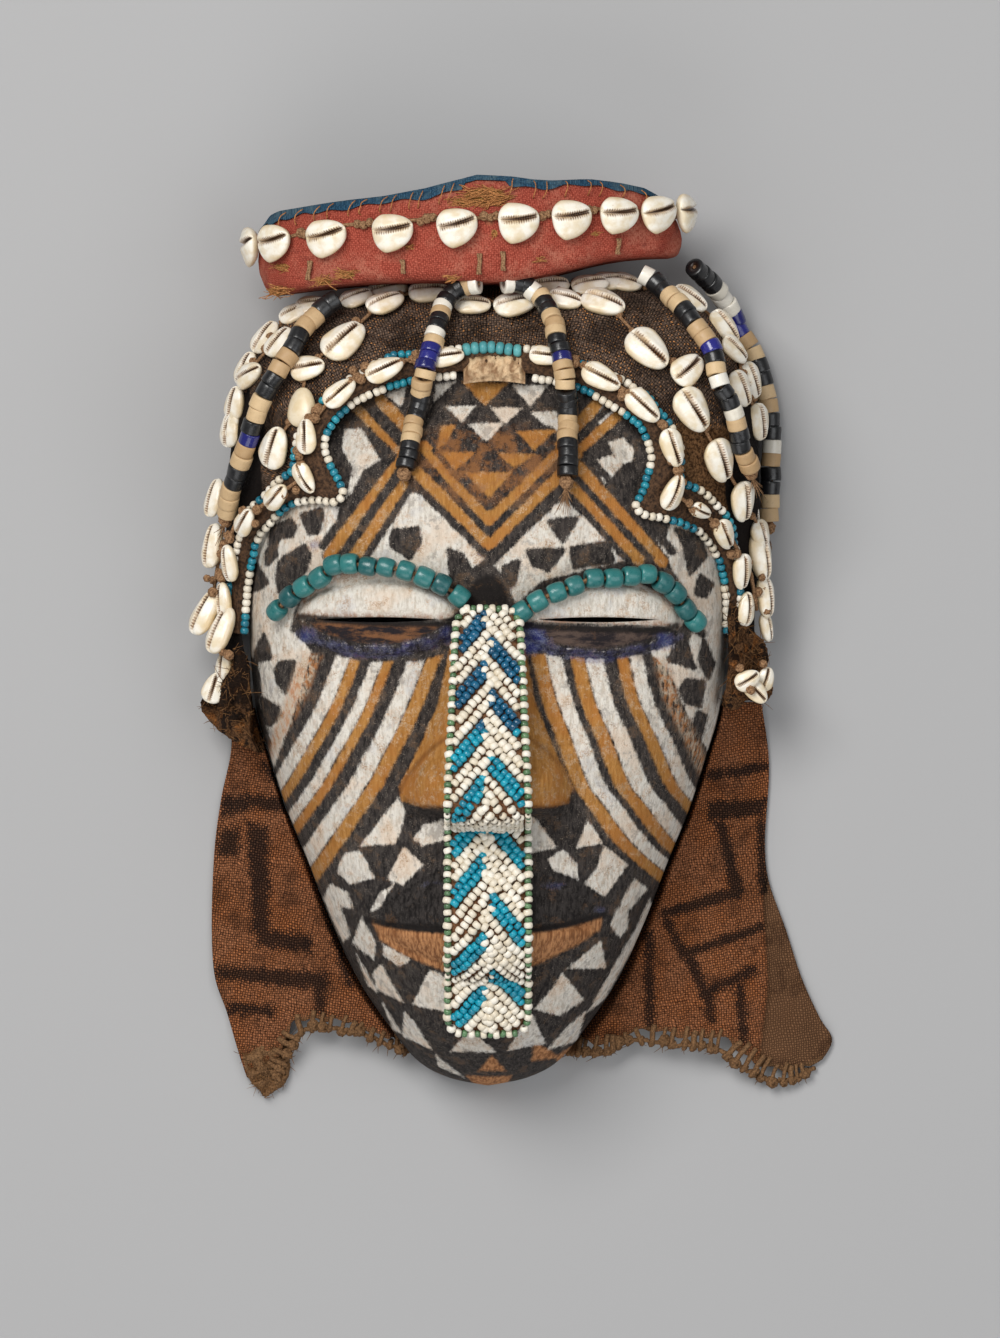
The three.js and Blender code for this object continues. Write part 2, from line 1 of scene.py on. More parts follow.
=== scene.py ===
"""Cowrie shell mask: a carved, painted wooden face in a cloth hood, with a stuffed cap, shells and beadwork.

Shapes are worked out in millimetres about the midline of the face, with y = 0 on the line of the eye slits,
and moved into the row frame when a mesh is made.
"""

import math
from types import SimpleNamespace

import bmesh
import bpy
import numpy as np
from mathutils import Matrix, Vector


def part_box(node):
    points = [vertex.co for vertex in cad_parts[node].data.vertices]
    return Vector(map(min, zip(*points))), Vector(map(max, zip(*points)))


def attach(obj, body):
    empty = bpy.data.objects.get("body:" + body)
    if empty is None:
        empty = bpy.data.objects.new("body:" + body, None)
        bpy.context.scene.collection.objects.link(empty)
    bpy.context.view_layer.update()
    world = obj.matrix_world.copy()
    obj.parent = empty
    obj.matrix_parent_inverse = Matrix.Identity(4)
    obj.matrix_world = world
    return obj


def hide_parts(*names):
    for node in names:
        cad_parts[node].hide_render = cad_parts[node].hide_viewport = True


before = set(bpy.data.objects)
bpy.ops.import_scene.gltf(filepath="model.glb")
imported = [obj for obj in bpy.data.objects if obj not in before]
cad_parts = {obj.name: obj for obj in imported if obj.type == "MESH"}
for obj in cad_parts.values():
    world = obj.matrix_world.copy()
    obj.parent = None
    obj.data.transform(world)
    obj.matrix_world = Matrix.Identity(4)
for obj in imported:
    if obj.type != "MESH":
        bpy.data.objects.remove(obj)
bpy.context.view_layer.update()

bl_info = {
    "name": "Cowrie Shell Mask",
    "version": (1, 0, 0),
    "blender": (4, 5, 0),
    "location": "3D View > Sidebar > Mask",
    "description": "Builds a carved wooden mask with a cloth hood, cowrie shells and beadwork",
    "category": "Object",
}

# Where the photo's pixels lie on the mask
PIXEL_MM = 0.42
MIDLINE_U, EYE_LINE_V = 488, 620
SIDES = ("left", "right")
# The y of the line between the lips
MOUTH_Y = -129
# Points nearer than this, in metres, are one point
SAME_PLACE = 2e-6

# The face's half width at each height, from the chin to the top of the wood under the hood
HALF_OUTLINE = [
    (0, -197.4), (17.4, -193.6), (29.5, -187), (43.5, -170), (55, -152.5), (66, -129), (76.9, -101),
    (85.5, -80), (92.6, -58), (98.4, -38), (101, -12), (101.4, 12), (99.5, 33), (94, 54), (82, 78),
    (60, 101), (31, 116), (0, 120),
]
CHIN_Y, CROWN_Y, FACE_CENTRE_Y = -197.4, 120.0, -35.0

# The hairline on the wood, from each temple up to the middle of the forehead
HAIRLINE = {
    "left": [
        (-103.7, -6), (-102.5, 10), (-100.4, 24), (-97, 36), (-92.4, 41.2), (-83.2, 49.1), (-71, 50.8),
        (-64.3, 50.2), (-61.4, 53.3), (-65.9, 62.6), (-69.3, 73), (-66.8, 80.6), (-60.1, 88.6),
        (-52.5, 93.7), (-34, 100.4), (3, 104.6),
    ],
    "right": [
        (101.6, -6), (101.2, 9.2), (99.5, 20.2), (96.2, 29), (89.5, 37.4), (76, 42.8), (66, 44.6),
        (62.8, 47), (65.9, 54.6), (68.9, 68.5), (64.3, 81.1), (51.2, 90.7), (37.8, 98), (3, 104.6),
    ],
}

SEED = 7
rng = np.random.default_rng(SEED)


# Settings

def length(name, description, mm):
    return bpy.props.FloatProperty(name=name, description=description, default=mm / 1000, unit="LENGTH",
                                   subtype="DISTANCE", min=0)


def amount(name, description, value):
    return bpy.props.FloatProperty(name=name, description=description, default=value)


def count(name, description, value):
    return bpy.props.IntProperty(name=name, description=description, default=value, min=1)


class MaskFaceSettings(bpy.types.PropertyGroup):
    height: length("Height", "Height of the wooden dome over its rear rim", 92)
    wall: length("Wall", "Thickness of the carved wood", 8)
    power: amount("Fullness", "2 is an ellipse in section, more is boxier", 2.6)
    crown_power: amount("Crown fullness", "Added to the fullness towards the crown", 0.8)
    eye_x: length("Eye distance", "From the midline to the middle of an eye", 46)
    slit: length("Slit", "Half the length of an eye slit", 25)
    slit_open: length("Slit opening", "Half the opening of an eye slit", 1.1)
    nose_rise: length("Nose", "Height of the nose over the cheeks", 30)
    rows: count("Rows", "Rows of the face's mesh", 330)
    columns: count("Columns", "Columns of the face's mesh", 224)


class MaskHoodSettings(bpy.types.PropertyGroup):
    half_width: length("Half width", "From the midline to the hood's ears", 113)
    crown: length("Crown", "From the eye line to the hood's top", 141)
    plan_power: amount("Plan fullness", "2 is an ellipse in plan, more is boxier", 4.5)
    lean: amount("Lean", "How much the crown rises towards the right", 0.05)
    crown_height: length("Crown height", "Height of the hood's dome at the crown", 90)
    ear_height: length("Ear height", "Height of the hood's dome at the ears", 50)
    cloth: length("Cloth", "Thickness of the quilted cloth", 2.5)
    clear: length("Clearance", "From the wood under the cloth", 3)
    end: length("End", "How far the hood reaches below the eye line", 33)


class MaskCapSettings(bpy.types.PropertyGroup):
    x: amount("X", "Middle of the cap in millimetres from the midline", -8)
    y: amount("Y", "Middle of the cap in millimetres above the eye line", 163.5)
    z: amount("Z", "Middle of the cap in millimetres over the ground", 44)
    half_width: length("Half width", "Half the cap's width", 88)
    half_depth: length("Half depth", "Half the cap's depth, front to back", 41)
    half_height: length("Half height", "Half the height of the cap's drum", 20)
    tilt: amount("Tilt", "Lean of the cap in degrees", 4.5)
    fill: amount("Fill", "How tightly the cap is stuffed, from 0 to 1", 0.85)


class MaskBeadSettings(bpy.types.PropertyGroup):
    disc_radius: length("Disc bead radius", "Radius of the beads on the strands", 4.2)
    disc_length: length("Disc bead length", "Length of one bead on the strands", 5.3)
    thread: length("Thread", "Diameter of the threads through the strands", 1.6)
    seed_radius: length("Seed bead radius", "Radius of the beads along the hairline", 1.9)
    seed_pitch: length("Seed bead pitch", "From bead to bead along the hairline", 3.0)
    brow_radius: length("Brow bead radius", "Radius of the big glass beads", 4.0)
    cowrie: length("Cowrie", "Length of a common cowrie", 17.6)


class MaskStageSettings(bpy.types.PropertyGroup):
    distance: length("Camera distance", "Height of the camera over the mask", 5000)
    view_height: length("View height", "Height of what the picture shows", 562)
    middle: length("Middle height", "Height above the floor that is drawn at true scale", 55)
    key: amount("Key light", "Power of the main light", 40)
    fill: amount("Fill light", "Power of the softer light", 14)


def sizes(name):
    """A settings group of the scene, with its lengths in millimetres."""
    group = getattr(bpy.context.scene, name)
    values = {}
    for key in type(group).__annotations__:
        prop = group.bl_rna.properties[key]
        values[key] = getattr(group, key) * (1000 if getattr(prop, "unit", "") == "LENGTH" else 1)
    return SimpleNamespace(**values)


# Curves and shapes

def smooth(v, lo, hi):
    t = np.clip((v - lo) / (hi - lo), 0, 1)
    return t * t * (3 - 2 * t)


def lerp(a, b, t):
    return a + (b - a) * t


def hump(x, y, cx, cy, rx, ry):
    return np.exp(-(((x - cx) / rx) ** 2) - ((y - cy) / ry) ** 2)


def dome(reach, height, power):
    return height * np.maximum(0, 1 - np.minimum(1, reach) ** power) ** (1 / power)


def plan(points):
    """Photo pixels as millimetres on the mask."""
    p = np.atleast_2d(np.asarray(points, float))
    return np.column_stack([(p[:, 0] - MIDLINE_U) * PIXEL_MM, (EYE_LINE_V - p[:, 1]) * PIXEL_MM])


def spline(points, steps=24):
    """A smooth line through points: centripetal Catmull-Rom."""
    p = np.asarray(points, float)
    p = np.vstack([2 * p[0] - p[1], p, 2 * p[-1] - p[-2]])
    t = np.linspace(0, 1, steps, endpoint=False)[:, None]
    out = []
    for a, b, c, d in zip(p, p[1:], p[2:], p[3:]):
        d0, d1, d2 = (max(np.linalg.norm(q - r) ** 0.5, 1e-4) for q, r in ((b, a), (c, b), (d, c)))
        m1 = ((b - a) / d0 - (c - a) / (d0 + d1) + (c - b) / d1) * d1
        m2 = ((c - b) / d1 - (d - b) / (d1 + d2) + (d - c) / d2) * d1
        out.append(b + m1 * t + (3 * (c - b) - 2 * m1 - m2) * t**2 + (2 * (b - c) + m1 + m2) * t**3)
    return np.vstack([*out, p[-2:-1]])


def run_of(line):
    """Distance along a line at each of its points."""
    return np.concatenate([[0], np.cumsum(np.linalg.norm(np.diff(line, axis=0), axis=1))])


def walk(line, distances):
    """Points at distances along a line."""
    run = run_of(line)
    return np.column_stack([np.interp(distances, run, line[:, k]) for k in range(line.shape[1])])


def spaced(line, pitch):
    """Points at even steps along a line, half a step from its ends."""
    total = run_of(line)[-1]
    n = max(1, round(total / pitch))
    return walk(line, (np.arange(n) + 0.5) * total / n)


def hairline(which, out):
    """The hairline moved outwards, away from the middle of the face."""
    line = spline(HAIRLINE[which])
    along = np.gradient(line, axis=0)
    along /= np.linalg.norm(along, axis=1)[:, None]
    way = 1 if which == "left" else -1
    return line + way * out * np.column_stack([-along[:, 1], along[:, 0]])


OUTLINE = spline(HALF_OUTLINE, 30)


def half_width_at(y):
    return np.interp(y, OUTLINE[:, 1], OUTLINE[:, 0])


def polar(line, centre_y):
    """A closed line's distance from a centre on the midline, as a function of the angle."""
    angle = np.arctan2(line[:, 1] - centre_y, line[:, 0])
    radius = np.hypot(line[:, 0], line[:, 1] - centre_y)
    return lambda a: np.interp(a, angle, radius, period=2 * math.pi)


face_radius = polar(np.vstack([OUTLINE, OUTLINE * [-1, 1]]), FACE_CENTRE_Y)


def hood_start_table():
    """The hood's inner edge about the middle of the eye line: the hairline, and the sides below it."""
    rows = np.vstack([hairline("left", 0.5), hairline("right", 0.5)])
    rows = rows[rows[:, 1] > -5]
    sides = [(x, y) for y in (-50, -30, -15) for x in (-102.4, 102.4)]
    return polar(np.vstack([rows, sides]), 0)


hood_start = hood_start_table()


class Form:
    """The heights of the wood, the hood and the cap over the ground."""

    def __init__(self):
        self.face, self.hood, self.cap = sizes("mask_face"), sizes("mask_hood"), sizes("mask_cap")

    def nose(self, ax, y):
        down = np.clip((6 - y) / 83, 0, 1)
        half = lerp(6, 36.5, down)
        end = np.where(y < -77, 1 - smooth(-77 - y, 0, 6), 1)
        wing = 5 * hump(ax, y, 24, -66, 9, 9)
        ridge = np.maximum(0, 1 - (ax / half) ** 1.7)
        return end * (self.face.nose_rise * down**0.75 * ridge + wing)

    def mouth(self, ax, y):
        across = np.maximum(0.01, 1 - (ax / 48) ** 2)
        above = (y - MOUTH_Y) / 30 / across
        below = (MOUTH_Y - y) / 17 / across
        upper = np.where(above > 0, 9 * across * np.maximum(0, 1 - above), 0)
        lower = np.where(below > 0, 9 * across * np.sqrt(np.maximum(0, 1 - below**2)), 0)
        return 9 * hump(ax, y, 0, -122, 56, 34) + upper + lower

    def relief(self, x, y):
        ax = np.abs(x)
        eye_x = self.face.eye_x
        lid_reach = np.hypot((ax - eye_x) / 34, y / 15.5)
        lid = 11 * np.sqrt(np.maximum(0, 1 - lid_reach**2.2))
        return (12 * hump(ax, y, 0, 62, 62, 38) - 12 * hump(ax, y, eye_x, -2, 38, 20) + lid
                + 4 * hump(ax, y, 52, -48, 30, 26) + 7 * hump(ax, y, 0, -172, 34, 20)
                + self.nose(ax, y) + self.mouth(ax, y))

    def wood(self, x, y):
        x, y = np.asarray(x, float), np.asarray(y, float)
        angle = np.arctan2(y - FACE_CENTRE_Y, x)
        reach = np.hypot(x, y - FACE_CENTRE_Y) / face_radius(angle)
        power = self.face.power + self.face.crown_power * np.maximum(0, np.sin(angle))
        return dome(reach, self.face.height, power) + self.relief(x, y) * smooth(1 - reach, 0, 0.14)

    def hood_end(self, angle):
        c, s = np.abs(np.cos(angle)), np.sin(angle)
        p, h = self.hood.plan_power, self.hood
        up = np.maximum(s, 0)
        round_ = (c / h.half_width) ** p + (up / h.crown) ** p
        above = round_ ** (-1 / p) * (1 + h.lean * np.cos(angle) * s)
        return np.where(s < 0, h.half_width / np.maximum(c, 1e-6), above)

    def hood_z(self, x, y, inset=0.0):
        h = self.hood
        angle = np.arctan2(y, x)
        height = lerp(h.ear_height, h.crown_height, smooth(np.sin(angle), 0, 0.8)) - inset
        reach = np.hypot(x, y) / (self.hood_end(angle) - inset)
        wood = self.wood(x, y) + h.clear + h.cloth - inset
        return np.maximum(np.maximum(wood * smooth(1 - reach, 0, 0.05), dome(reach, height, 4)), 0)

    def hood_point(self, turn, drop, inset=0.0):
        h = self.hood
        ear = math.atan2(h.end, h.half_width)
        angle = lerp(-ear, math.pi + ear, turn)
        end = self.hood_end(angle) - inset
        start = np.minimum(hood_start(angle), end - 6)
        r = lerp(start, end, np.sin(math.pi / 2 * drop))
        x, y = r * np.cos(angle), r * np.sin(angle)
        return np.stack([x, y, np.where(drop < 1, self.hood_z(x, y, inset), 0)], -1)

    def top(self, x, y):
        """What the strands lie on: the hood with its edging, or the bare wood."""
        on_hood = np.hypot(x, y) > hood_start(np.arctan2(y, x)) - 1
        return np.where(on_hood, self.hood_z(x, y) + 4.4, self.wood(x, y))

    def cap_frame(self, points):
        """Plan points in the cap's own axes, along it and across it."""
        c = self.cap
        tilt = math.radians(c.tilt)
        dx, dy = points[:, 0] - c.x, points[:, 1] - c.y
        return np.column_stack([dx * math.cos(tilt) + dy * math.sin(tilt), dy * math.cos(tilt) - dx * math.sin(tilt)])

    def cap_front(self, at, out, wider):
        """How high the drum's front is at plan points, out in front of the cloth and a little wider than it."""
        c = self.cap
        x = self.cap_frame(np.atleast_2d(at))[:, 0]
        return c.z + (c.half_depth + out) * np.sqrt(np.maximum(0, 1 - (x / (c.half_width + wider)) ** 2))

    def cap_at(self, x, z, t):
        """In or on the cap's drum, t from its lower edge -1 to its upper edge 1."""
        c = self.cap
        low, high = (np.interp(x, *self.cap_frame(plan(edge)).T) for edge in (CAP_LOW_EDGE, CAP_TOP_EDGE))
        y = lerp(low, high, (t + 1) / 2)
        tilt = math.radians(c.tilt)
        return np.stack([c.x + x * math.cos(tilt) - y * math.sin(tilt),
                         c.y + x * math.sin(tilt) + y * math.cos(tilt), c.z + z + 0 * y], -1)

    def cap_point(self, angle, t, grow=0.0, shrink=1.0):
        c = self.cap
        x = (c.half_width + grow) * np.cos(angle) * shrink
        z = (c.half_depth + grow) * np.sin(angle) * shrink
        return self.cap_at(x, z, t)


# The cap's lower and upper edge, in photo pixels
CAP_LOW_EDGE = [(262, 292), (270, 296), (313, 289), (366, 283), (445, 282), (490, 283), (512, 283), (545, 276),
                (578, 268), (608, 260), (650, 257), (677, 258), (686, 254)]
CAP_TOP_EDGE = [(256, 228), (268, 220), (279, 216), (339, 206), (379, 202), (425, 195), (462, 186), (477, 182),
                (512, 183), (541, 186), (591, 184), (621, 188), (644, 193), (667, 205), (682, 222)]


def highest(height, reach):
    """The greatest of the heights at a place and at a reach to its four sides, as a function of the place."""
    near = ((0, 0), (reach, 0), (-reach, 0), (0, reach), (0, -reach))
    return lambda x, y: np.max([height(x + dx, y + dy) for dx, dy in near], axis=0)


def normals_of(height, x, y, d, least):
    """Unit normals of a surface of heights, measured d to either side, none lying flatter than least."""
    gx = height(x - d, y) - height(x + d, y)
    gy = height(x, y - d) - height(x, y + d)
    n = np.stack([gx, gy, np.full_like(gx, 2 * d)], -1)
    n /= np.linalg.norm(n, axis=-1)[..., None]
    n[..., 2] = np.maximum(n[..., 2], least)
    return n / np.linalg.norm(n, axis=-1)[..., None]


# Meshes

def grid_faces(rows, columns, closed=False, start=0):
    """Quads over a grid of points laid out row by row."""
    i, j = np.meshgrid(np.arange(rows - 1), np.arange(columns if closed else columns - 1), indexing="ij")
    k = (j + 1) % columns
    a, b = i * columns + j, i * columns + k
    return (np.stack([a, b, b + columns, a + columns], -1).reshape(-1, 4)) + start


def fans(rings, n, first, last):
    """Triangles that close both ends of a stack of rings, to a middle point of the first ring and of the last."""
    j = np.arange(n)
    k = (j + 1) % n
    end = (rings - 1) * n
    return np.vstack([np.column_stack([k, j, 0 * j + first]), np.column_stack([end + j, end + k, 0 * j + last])])


def slab(top, low):
    """A closed sheet between two grids of points: its vertices, the top ones first, and its faces."""
    rows, columns = top.shape[:2]
    n = rows * columns
    edge = np.concatenate([np.arange(columns), np.arange(1, rows) * columns + columns - 1,
                           (rows - 1) * columns + np.arange(columns - 2, -1, -1),
                           np.arange(rows - 2, 0, -1) * columns])
    after = np.roll(edge, -1)
    faces = [grid_faces(rows, columns), grid_faces(rows, columns, start=n)[:, ::-1],
             np.stack([edge, edge + n, after + n, after], -1)]
    return np.vstack([top.reshape(-1, 3), low.reshape(-1, 3)]), np.vstack(faces)


def sheet_area(grid):
    """The area of a grid of points."""
    return np.linalg.norm(np.cross(grid[1:, 1:] - grid[:-1, :-1], grid[1:, :-1] - grid[:-1, 1:]), axis=2).sum() / 2


def lathe(profile, sides):
    """A ring-shaped bead along X: (distance along, radius) points turned about the axis."""
    p = np.asarray(profile, float)
    a = np.arange(sides) * 2 * math.pi / sides
    x = np.repeat(p[:, 0], sides)
    y, z = np.outer(p[:, 1], np.cos(a)).ravel(), np.outer(p[:, 1], np.sin(a)).ravel()
    return np.column_stack([x, y, z]), grid_faces(len(p), sides, closed=True)


def bead(radius, half, hole, sides=16, bulge=0.25, rows=5, square=3):
    """A bead along X with a hole: bulge says how far its ends draw in and square how sharply."""
    a = np.sin(np.linspace(-1, 1, rows) * math.pi / 2)
    outer = [(half * t, radius * (1 - bulge * abs(t) ** square)) for t in a]
    rim = radius * (1 - bulge)
    loop = [(-half * 0.97, hole), (-half, (rim + hole) / 2), *outer, (half, (rim + hole) / 2), (half * 0.97, hole)]
    return lathe([*loop, loop[0]], sides)


def tube(points, radius, sides=6, taper=None):
    """A round tube along points, with its ends drawn in."""
    p = np.asarray(points, float)
    along = np.gradient(p, axis=0)
    along /= np.linalg.norm(along, axis=1)[:, None] + 1e-12
    up = np.array([0.123, 0.217, 0.968])
    ups = []
    for t in along:
        up = up - t * np.dot(up, t)
        up /= np.linalg.norm(up) + 1e-12
        ups.append(up)
    ups = np.array(ups)
    across = np.cross(along, ups)
    r = np.full(len(p), float(radius)) if taper is None else radius * np.asarray(taper)
    p = np.vstack([p[0], p, p[-1]])
    along, ups, across = (np.vstack([v[0], v, v[-1]]) for v in (along, ups, across))
    r = np.concatenate([[r[0] * 0.15], r, [r[-1] * 0.15]])
    a = np.arange(sides) * 2 * math.pi / sides
    ring = np.cos(a)[None, :, None] * across[:, None] + np.sin(a)[None, :, None] * ups[:, None]
    verts = (p[:, None] + ring * r[:, None, None]).reshape(-1, 3)
    return verts, grid_faces(len(p), sides, closed=True)


def stamp(master, origins, axes):
    """Copies of (vertices, faces) at origins, with axes as rows of (local x, y, z) directions."""
    v, f = master
    verts = np.einsum("vj,njk->nvk", v, np.asarray(axes)) + np.asarray(origins)[:, None]
    faces = f[None] + (np.arange(len(origins)) * len(v))[:, None, None]
    return verts.reshape(-1, 3), faces.reshape(-1, f.shape[1])


def joined(parts):
    """Several (vertices, faces) as one."""
    verts, faces, n = [], [], 0
    for v, f in parts:
        verts.append(v)
        faces.append(f + n)
        n += len(v)
    return np.vstack(verts), np.vstack(faces)


def axes_along(along, up, size=1.0):
    """Rows of local x, y, z directions for pieces lying along a direction, with z near up."""
    along = np.atleast_2d(along).astype(float)
    along = along / np.linalg.norm(along, axis=1)[:, None]
    across = np.cross(np.atleast_2d(up), along)
    across /= np.linalg.norm(across, axis=1)[:, None]
    up = np.cross(along, across)
    return np.stack([along, across, up], 1) * np.reshape(size, (-1, 1, 1) if np.ndim(size) == 1 else (1, 1, 1))


def turned(axes, angles, about=0):
    """Axes turned about one of their own directions."""
    out = axes.copy()
    b, c = (about + 1) % 3, (about + 2) % 3
    cs, sn = np.cos(angles)[:, None], np.sin(angles)[:, None]
    out[:, b] = axes[:, b] * cs + axes[:, c] * sn
    out[:, c] = axes[:, c] * cs - axes[:, b] * sn
    return out


def shift():
    """From the face's own millimetres to the row frame."""
    lo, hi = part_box("wood_face")
    return np.array([(lo.x + hi.x) / 2 * 1000, lo.y * 1000 - CHIN_Y, 0])


def close_and_turn_out(mesh):
    """Joins points that lie in one place, closes small open ends and turns every face outwards."""
    work = bmesh.new()
    work.from_mesh(mesh)
    bmesh.ops.remove_doubles(work, verts=work.verts, dist=SAME_PLACE)
    bmesh.ops.holes_fill(work, edges=[e for e in work.edges if e.is_boundary])
    bmesh.ops.recalc_face_normals(work, faces=work.faces)
    work.to_mesh(mesh)
    work.free()
    mesh.update()


def add(name, data):
    """A new object in the scene."""
    obj = bpy.data.objects.new(name, data)
    bpy.context.scene.collection.objects.link(obj)
    return obj


def place(name, verts, faces, material, replaces=(), slot=None, values=None):
    """Makes a mesh object from millimetres, rides it on the mask and gives it its material."""
    v = (np.asarray(verts, float) + shift()) / 1000
    mesh = bpy.data.meshes.new(name)
    sets = faces if isinstance(faces, list) else [faces]
    mesh.from_pydata(v, [], [q for f in sets for q in np.asarray(f).tolist()])
    for key, data in (values or {}).items():
        data = np.asarray(data, np.float32)
        kind = "FLOAT" if data.ndim == 1 else "FLOAT_VECTOR"
        layer = mesh.attributes.new(key, kind, "POINT")
        layer.data.foreach_set("value" if data.ndim == 1 else "vector", data.ravel())
    mesh.validate()
    close_and_turn_out(mesh)
    mesh.shade_smooth()
    obj = add(name, mesh)
    mesh.materials.append(material)
    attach(obj, "root")
    if replaces:
        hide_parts(*replaces)
    return obj


# Materials

def rgb(r, g, b):
    """A colour from 0 to 255 as linear light."""
    return tuple(c / 12.92 if c <= 0.04045 else ((c + 0.055) / 1.055) ** 2.4 for c in (r / 255, g / 255, b / 255))


class Wire:
    """A shader value that can be calculated with."""

    def __init__(self, look, socket):
        self.look, self.socket = look, socket

    def math(self, kind, *values):
        return self.look.node("ShaderNodeMath", {"operation": kind}, dict(enumerate(values)))

    def __add__(self, other):
        return self.math("ADD", self, other)

    def __sub__(self, other):
        return self.math("SUBTRACT", self, other)

    def __rsub__(self, other):
        return self.math("SUBTRACT", other, self)

    def __mul__(self, other):
        return self.math("MULTIPLY", self, other)

    def __truediv__(self, other):
        return self.math("DIVIDE", self, other)

    def __pow__(self, other):
        return self.math("POWER", self, other)

    def __abs__(self):
        return self.math("ABSOLUTE", self)

    def __mod__(self, other):
        return self.math("FLOORED_MODULO", self, other)

    __radd__, __rmul__ = __add__, __mul__

    def sin(self):
        return self.math("SINE", self)

    def floor(self):
        return self.math("FLOOR", self)

    def above(self, other):
        return self.math("MAXIMUM", self, other)

    def ramp(self, lo, hi, a=0.0, b=1.0):
        settings = {"interpolation_type": "SMOOTHSTEP"}
        return self.look.node("ShaderNodeMapRange", settings, {0: self, 1: lo, 2: hi, 3: a, 4: b})


class Look:
    """A material under construction."""

    def __init__(self, name, color, roughness, **constants):
        self.material = bpy.data.materials.new(f"mask_{name}")
        self.material.use_nodes = True
        self.tree = self.material.node_tree
        self.shader = self.tree.nodes["Principled BSDF"]
        self.material.diffuse_color = (*color, 1)
        self.set("Base Color", (*color, 1))
        self.set("Roughness", roughness)
        for key, value in constants.items():
            self.set(key.replace("_", " "), value)

    def set(self, name, value):
        socket = self.shader.inputs[name]
        if isinstance(value, Wire):
            self.tree.links.new(value.socket, socket)
        else:
            socket.default_value = value

    def node(self, kind, settings=None, inputs=None, out=0):
        node = self.tree.nodes.new(kind)
        for key, value in (settings or {}).items():
            setattr(node, key, value)
        for key, value in (inputs or {}).items():
            if isinstance(value, Wire):
                self.tree.links.new(value.socket, node.inputs[key])
            else:
                node.inputs[key].default_value = value
        return Wire(self, node.outputs[out])

    def mix(self, factor, a, b):
        a, b = ((*c, 1) if isinstance(c, tuple) else c for c in (a, b))
        settings = {"data_type": "RGBA", "blend_type": "MIX", "clamp_factor": True}
        return self.node("ShaderNodeMix", settings, {0: factor, 6: a, 7: b}, out=2)

    def value(self, name):
        return self.node("ShaderNodeAttribute", {"attribute_name": name}, out=2)

    def vector(self, name):
        return self.node("ShaderNodeAttribute", {"attribute_name": name}, out=1)

    def place(self, scale=(1.0, 1.0, 1.0)):
        """Object coordinates in millimetres, times a scale."""
        coords = self.node("ShaderNodeTexCoord", out=3)
        scale = tuple(1000 * s for s in scale)
        return self.node("ShaderNodeVectorMath", {"operation": "MULTIPLY"}, {0: coords, 1: scale})

    def scaled(self, vector, scale):
        return self.node("ShaderNodeVectorMath", {"operation": "MULTIPLY"}, {0: vector, 1: scale})

    def parts(self, vector):
        split = self.node("ShaderNodeSeparateXYZ", inputs={0: vector})
        outputs = split.socket.node.outputs
        return Wire(self, outputs[0]), Wire(self, outputs[1]), Wire(self, outputs[2])

    def noise(self, size, detail=3.0, rough=0.55, vector=None, stretch=(1, 1, 1)):
        """Noise from 0 to 1 with features of about a size in millimetres."""
        at = self.place(stretch) if vector is None else self.scaled(vector, stretch)
        values = {"Vector": at, "Scale": 1 / size, "Detail": detail, "Roughness": rough}
        return self.node("ShaderNodeTexNoise", inputs=values)

    def cells(self, size):
        """Distance from the nearest of scattered points about a size apart, in millimetres."""
        return self.node("ShaderNodeTexVoronoi", {"feature": "F1"}, {"Vector": self.place(), "Scale": 1 / size})

    def bump(self, height, depth_mm):
        values = {"Strength": 1, "Distance": depth_mm / 1000, "Height": height}
        self.set("Normal", self.node("ShaderNodeBump", inputs=values))


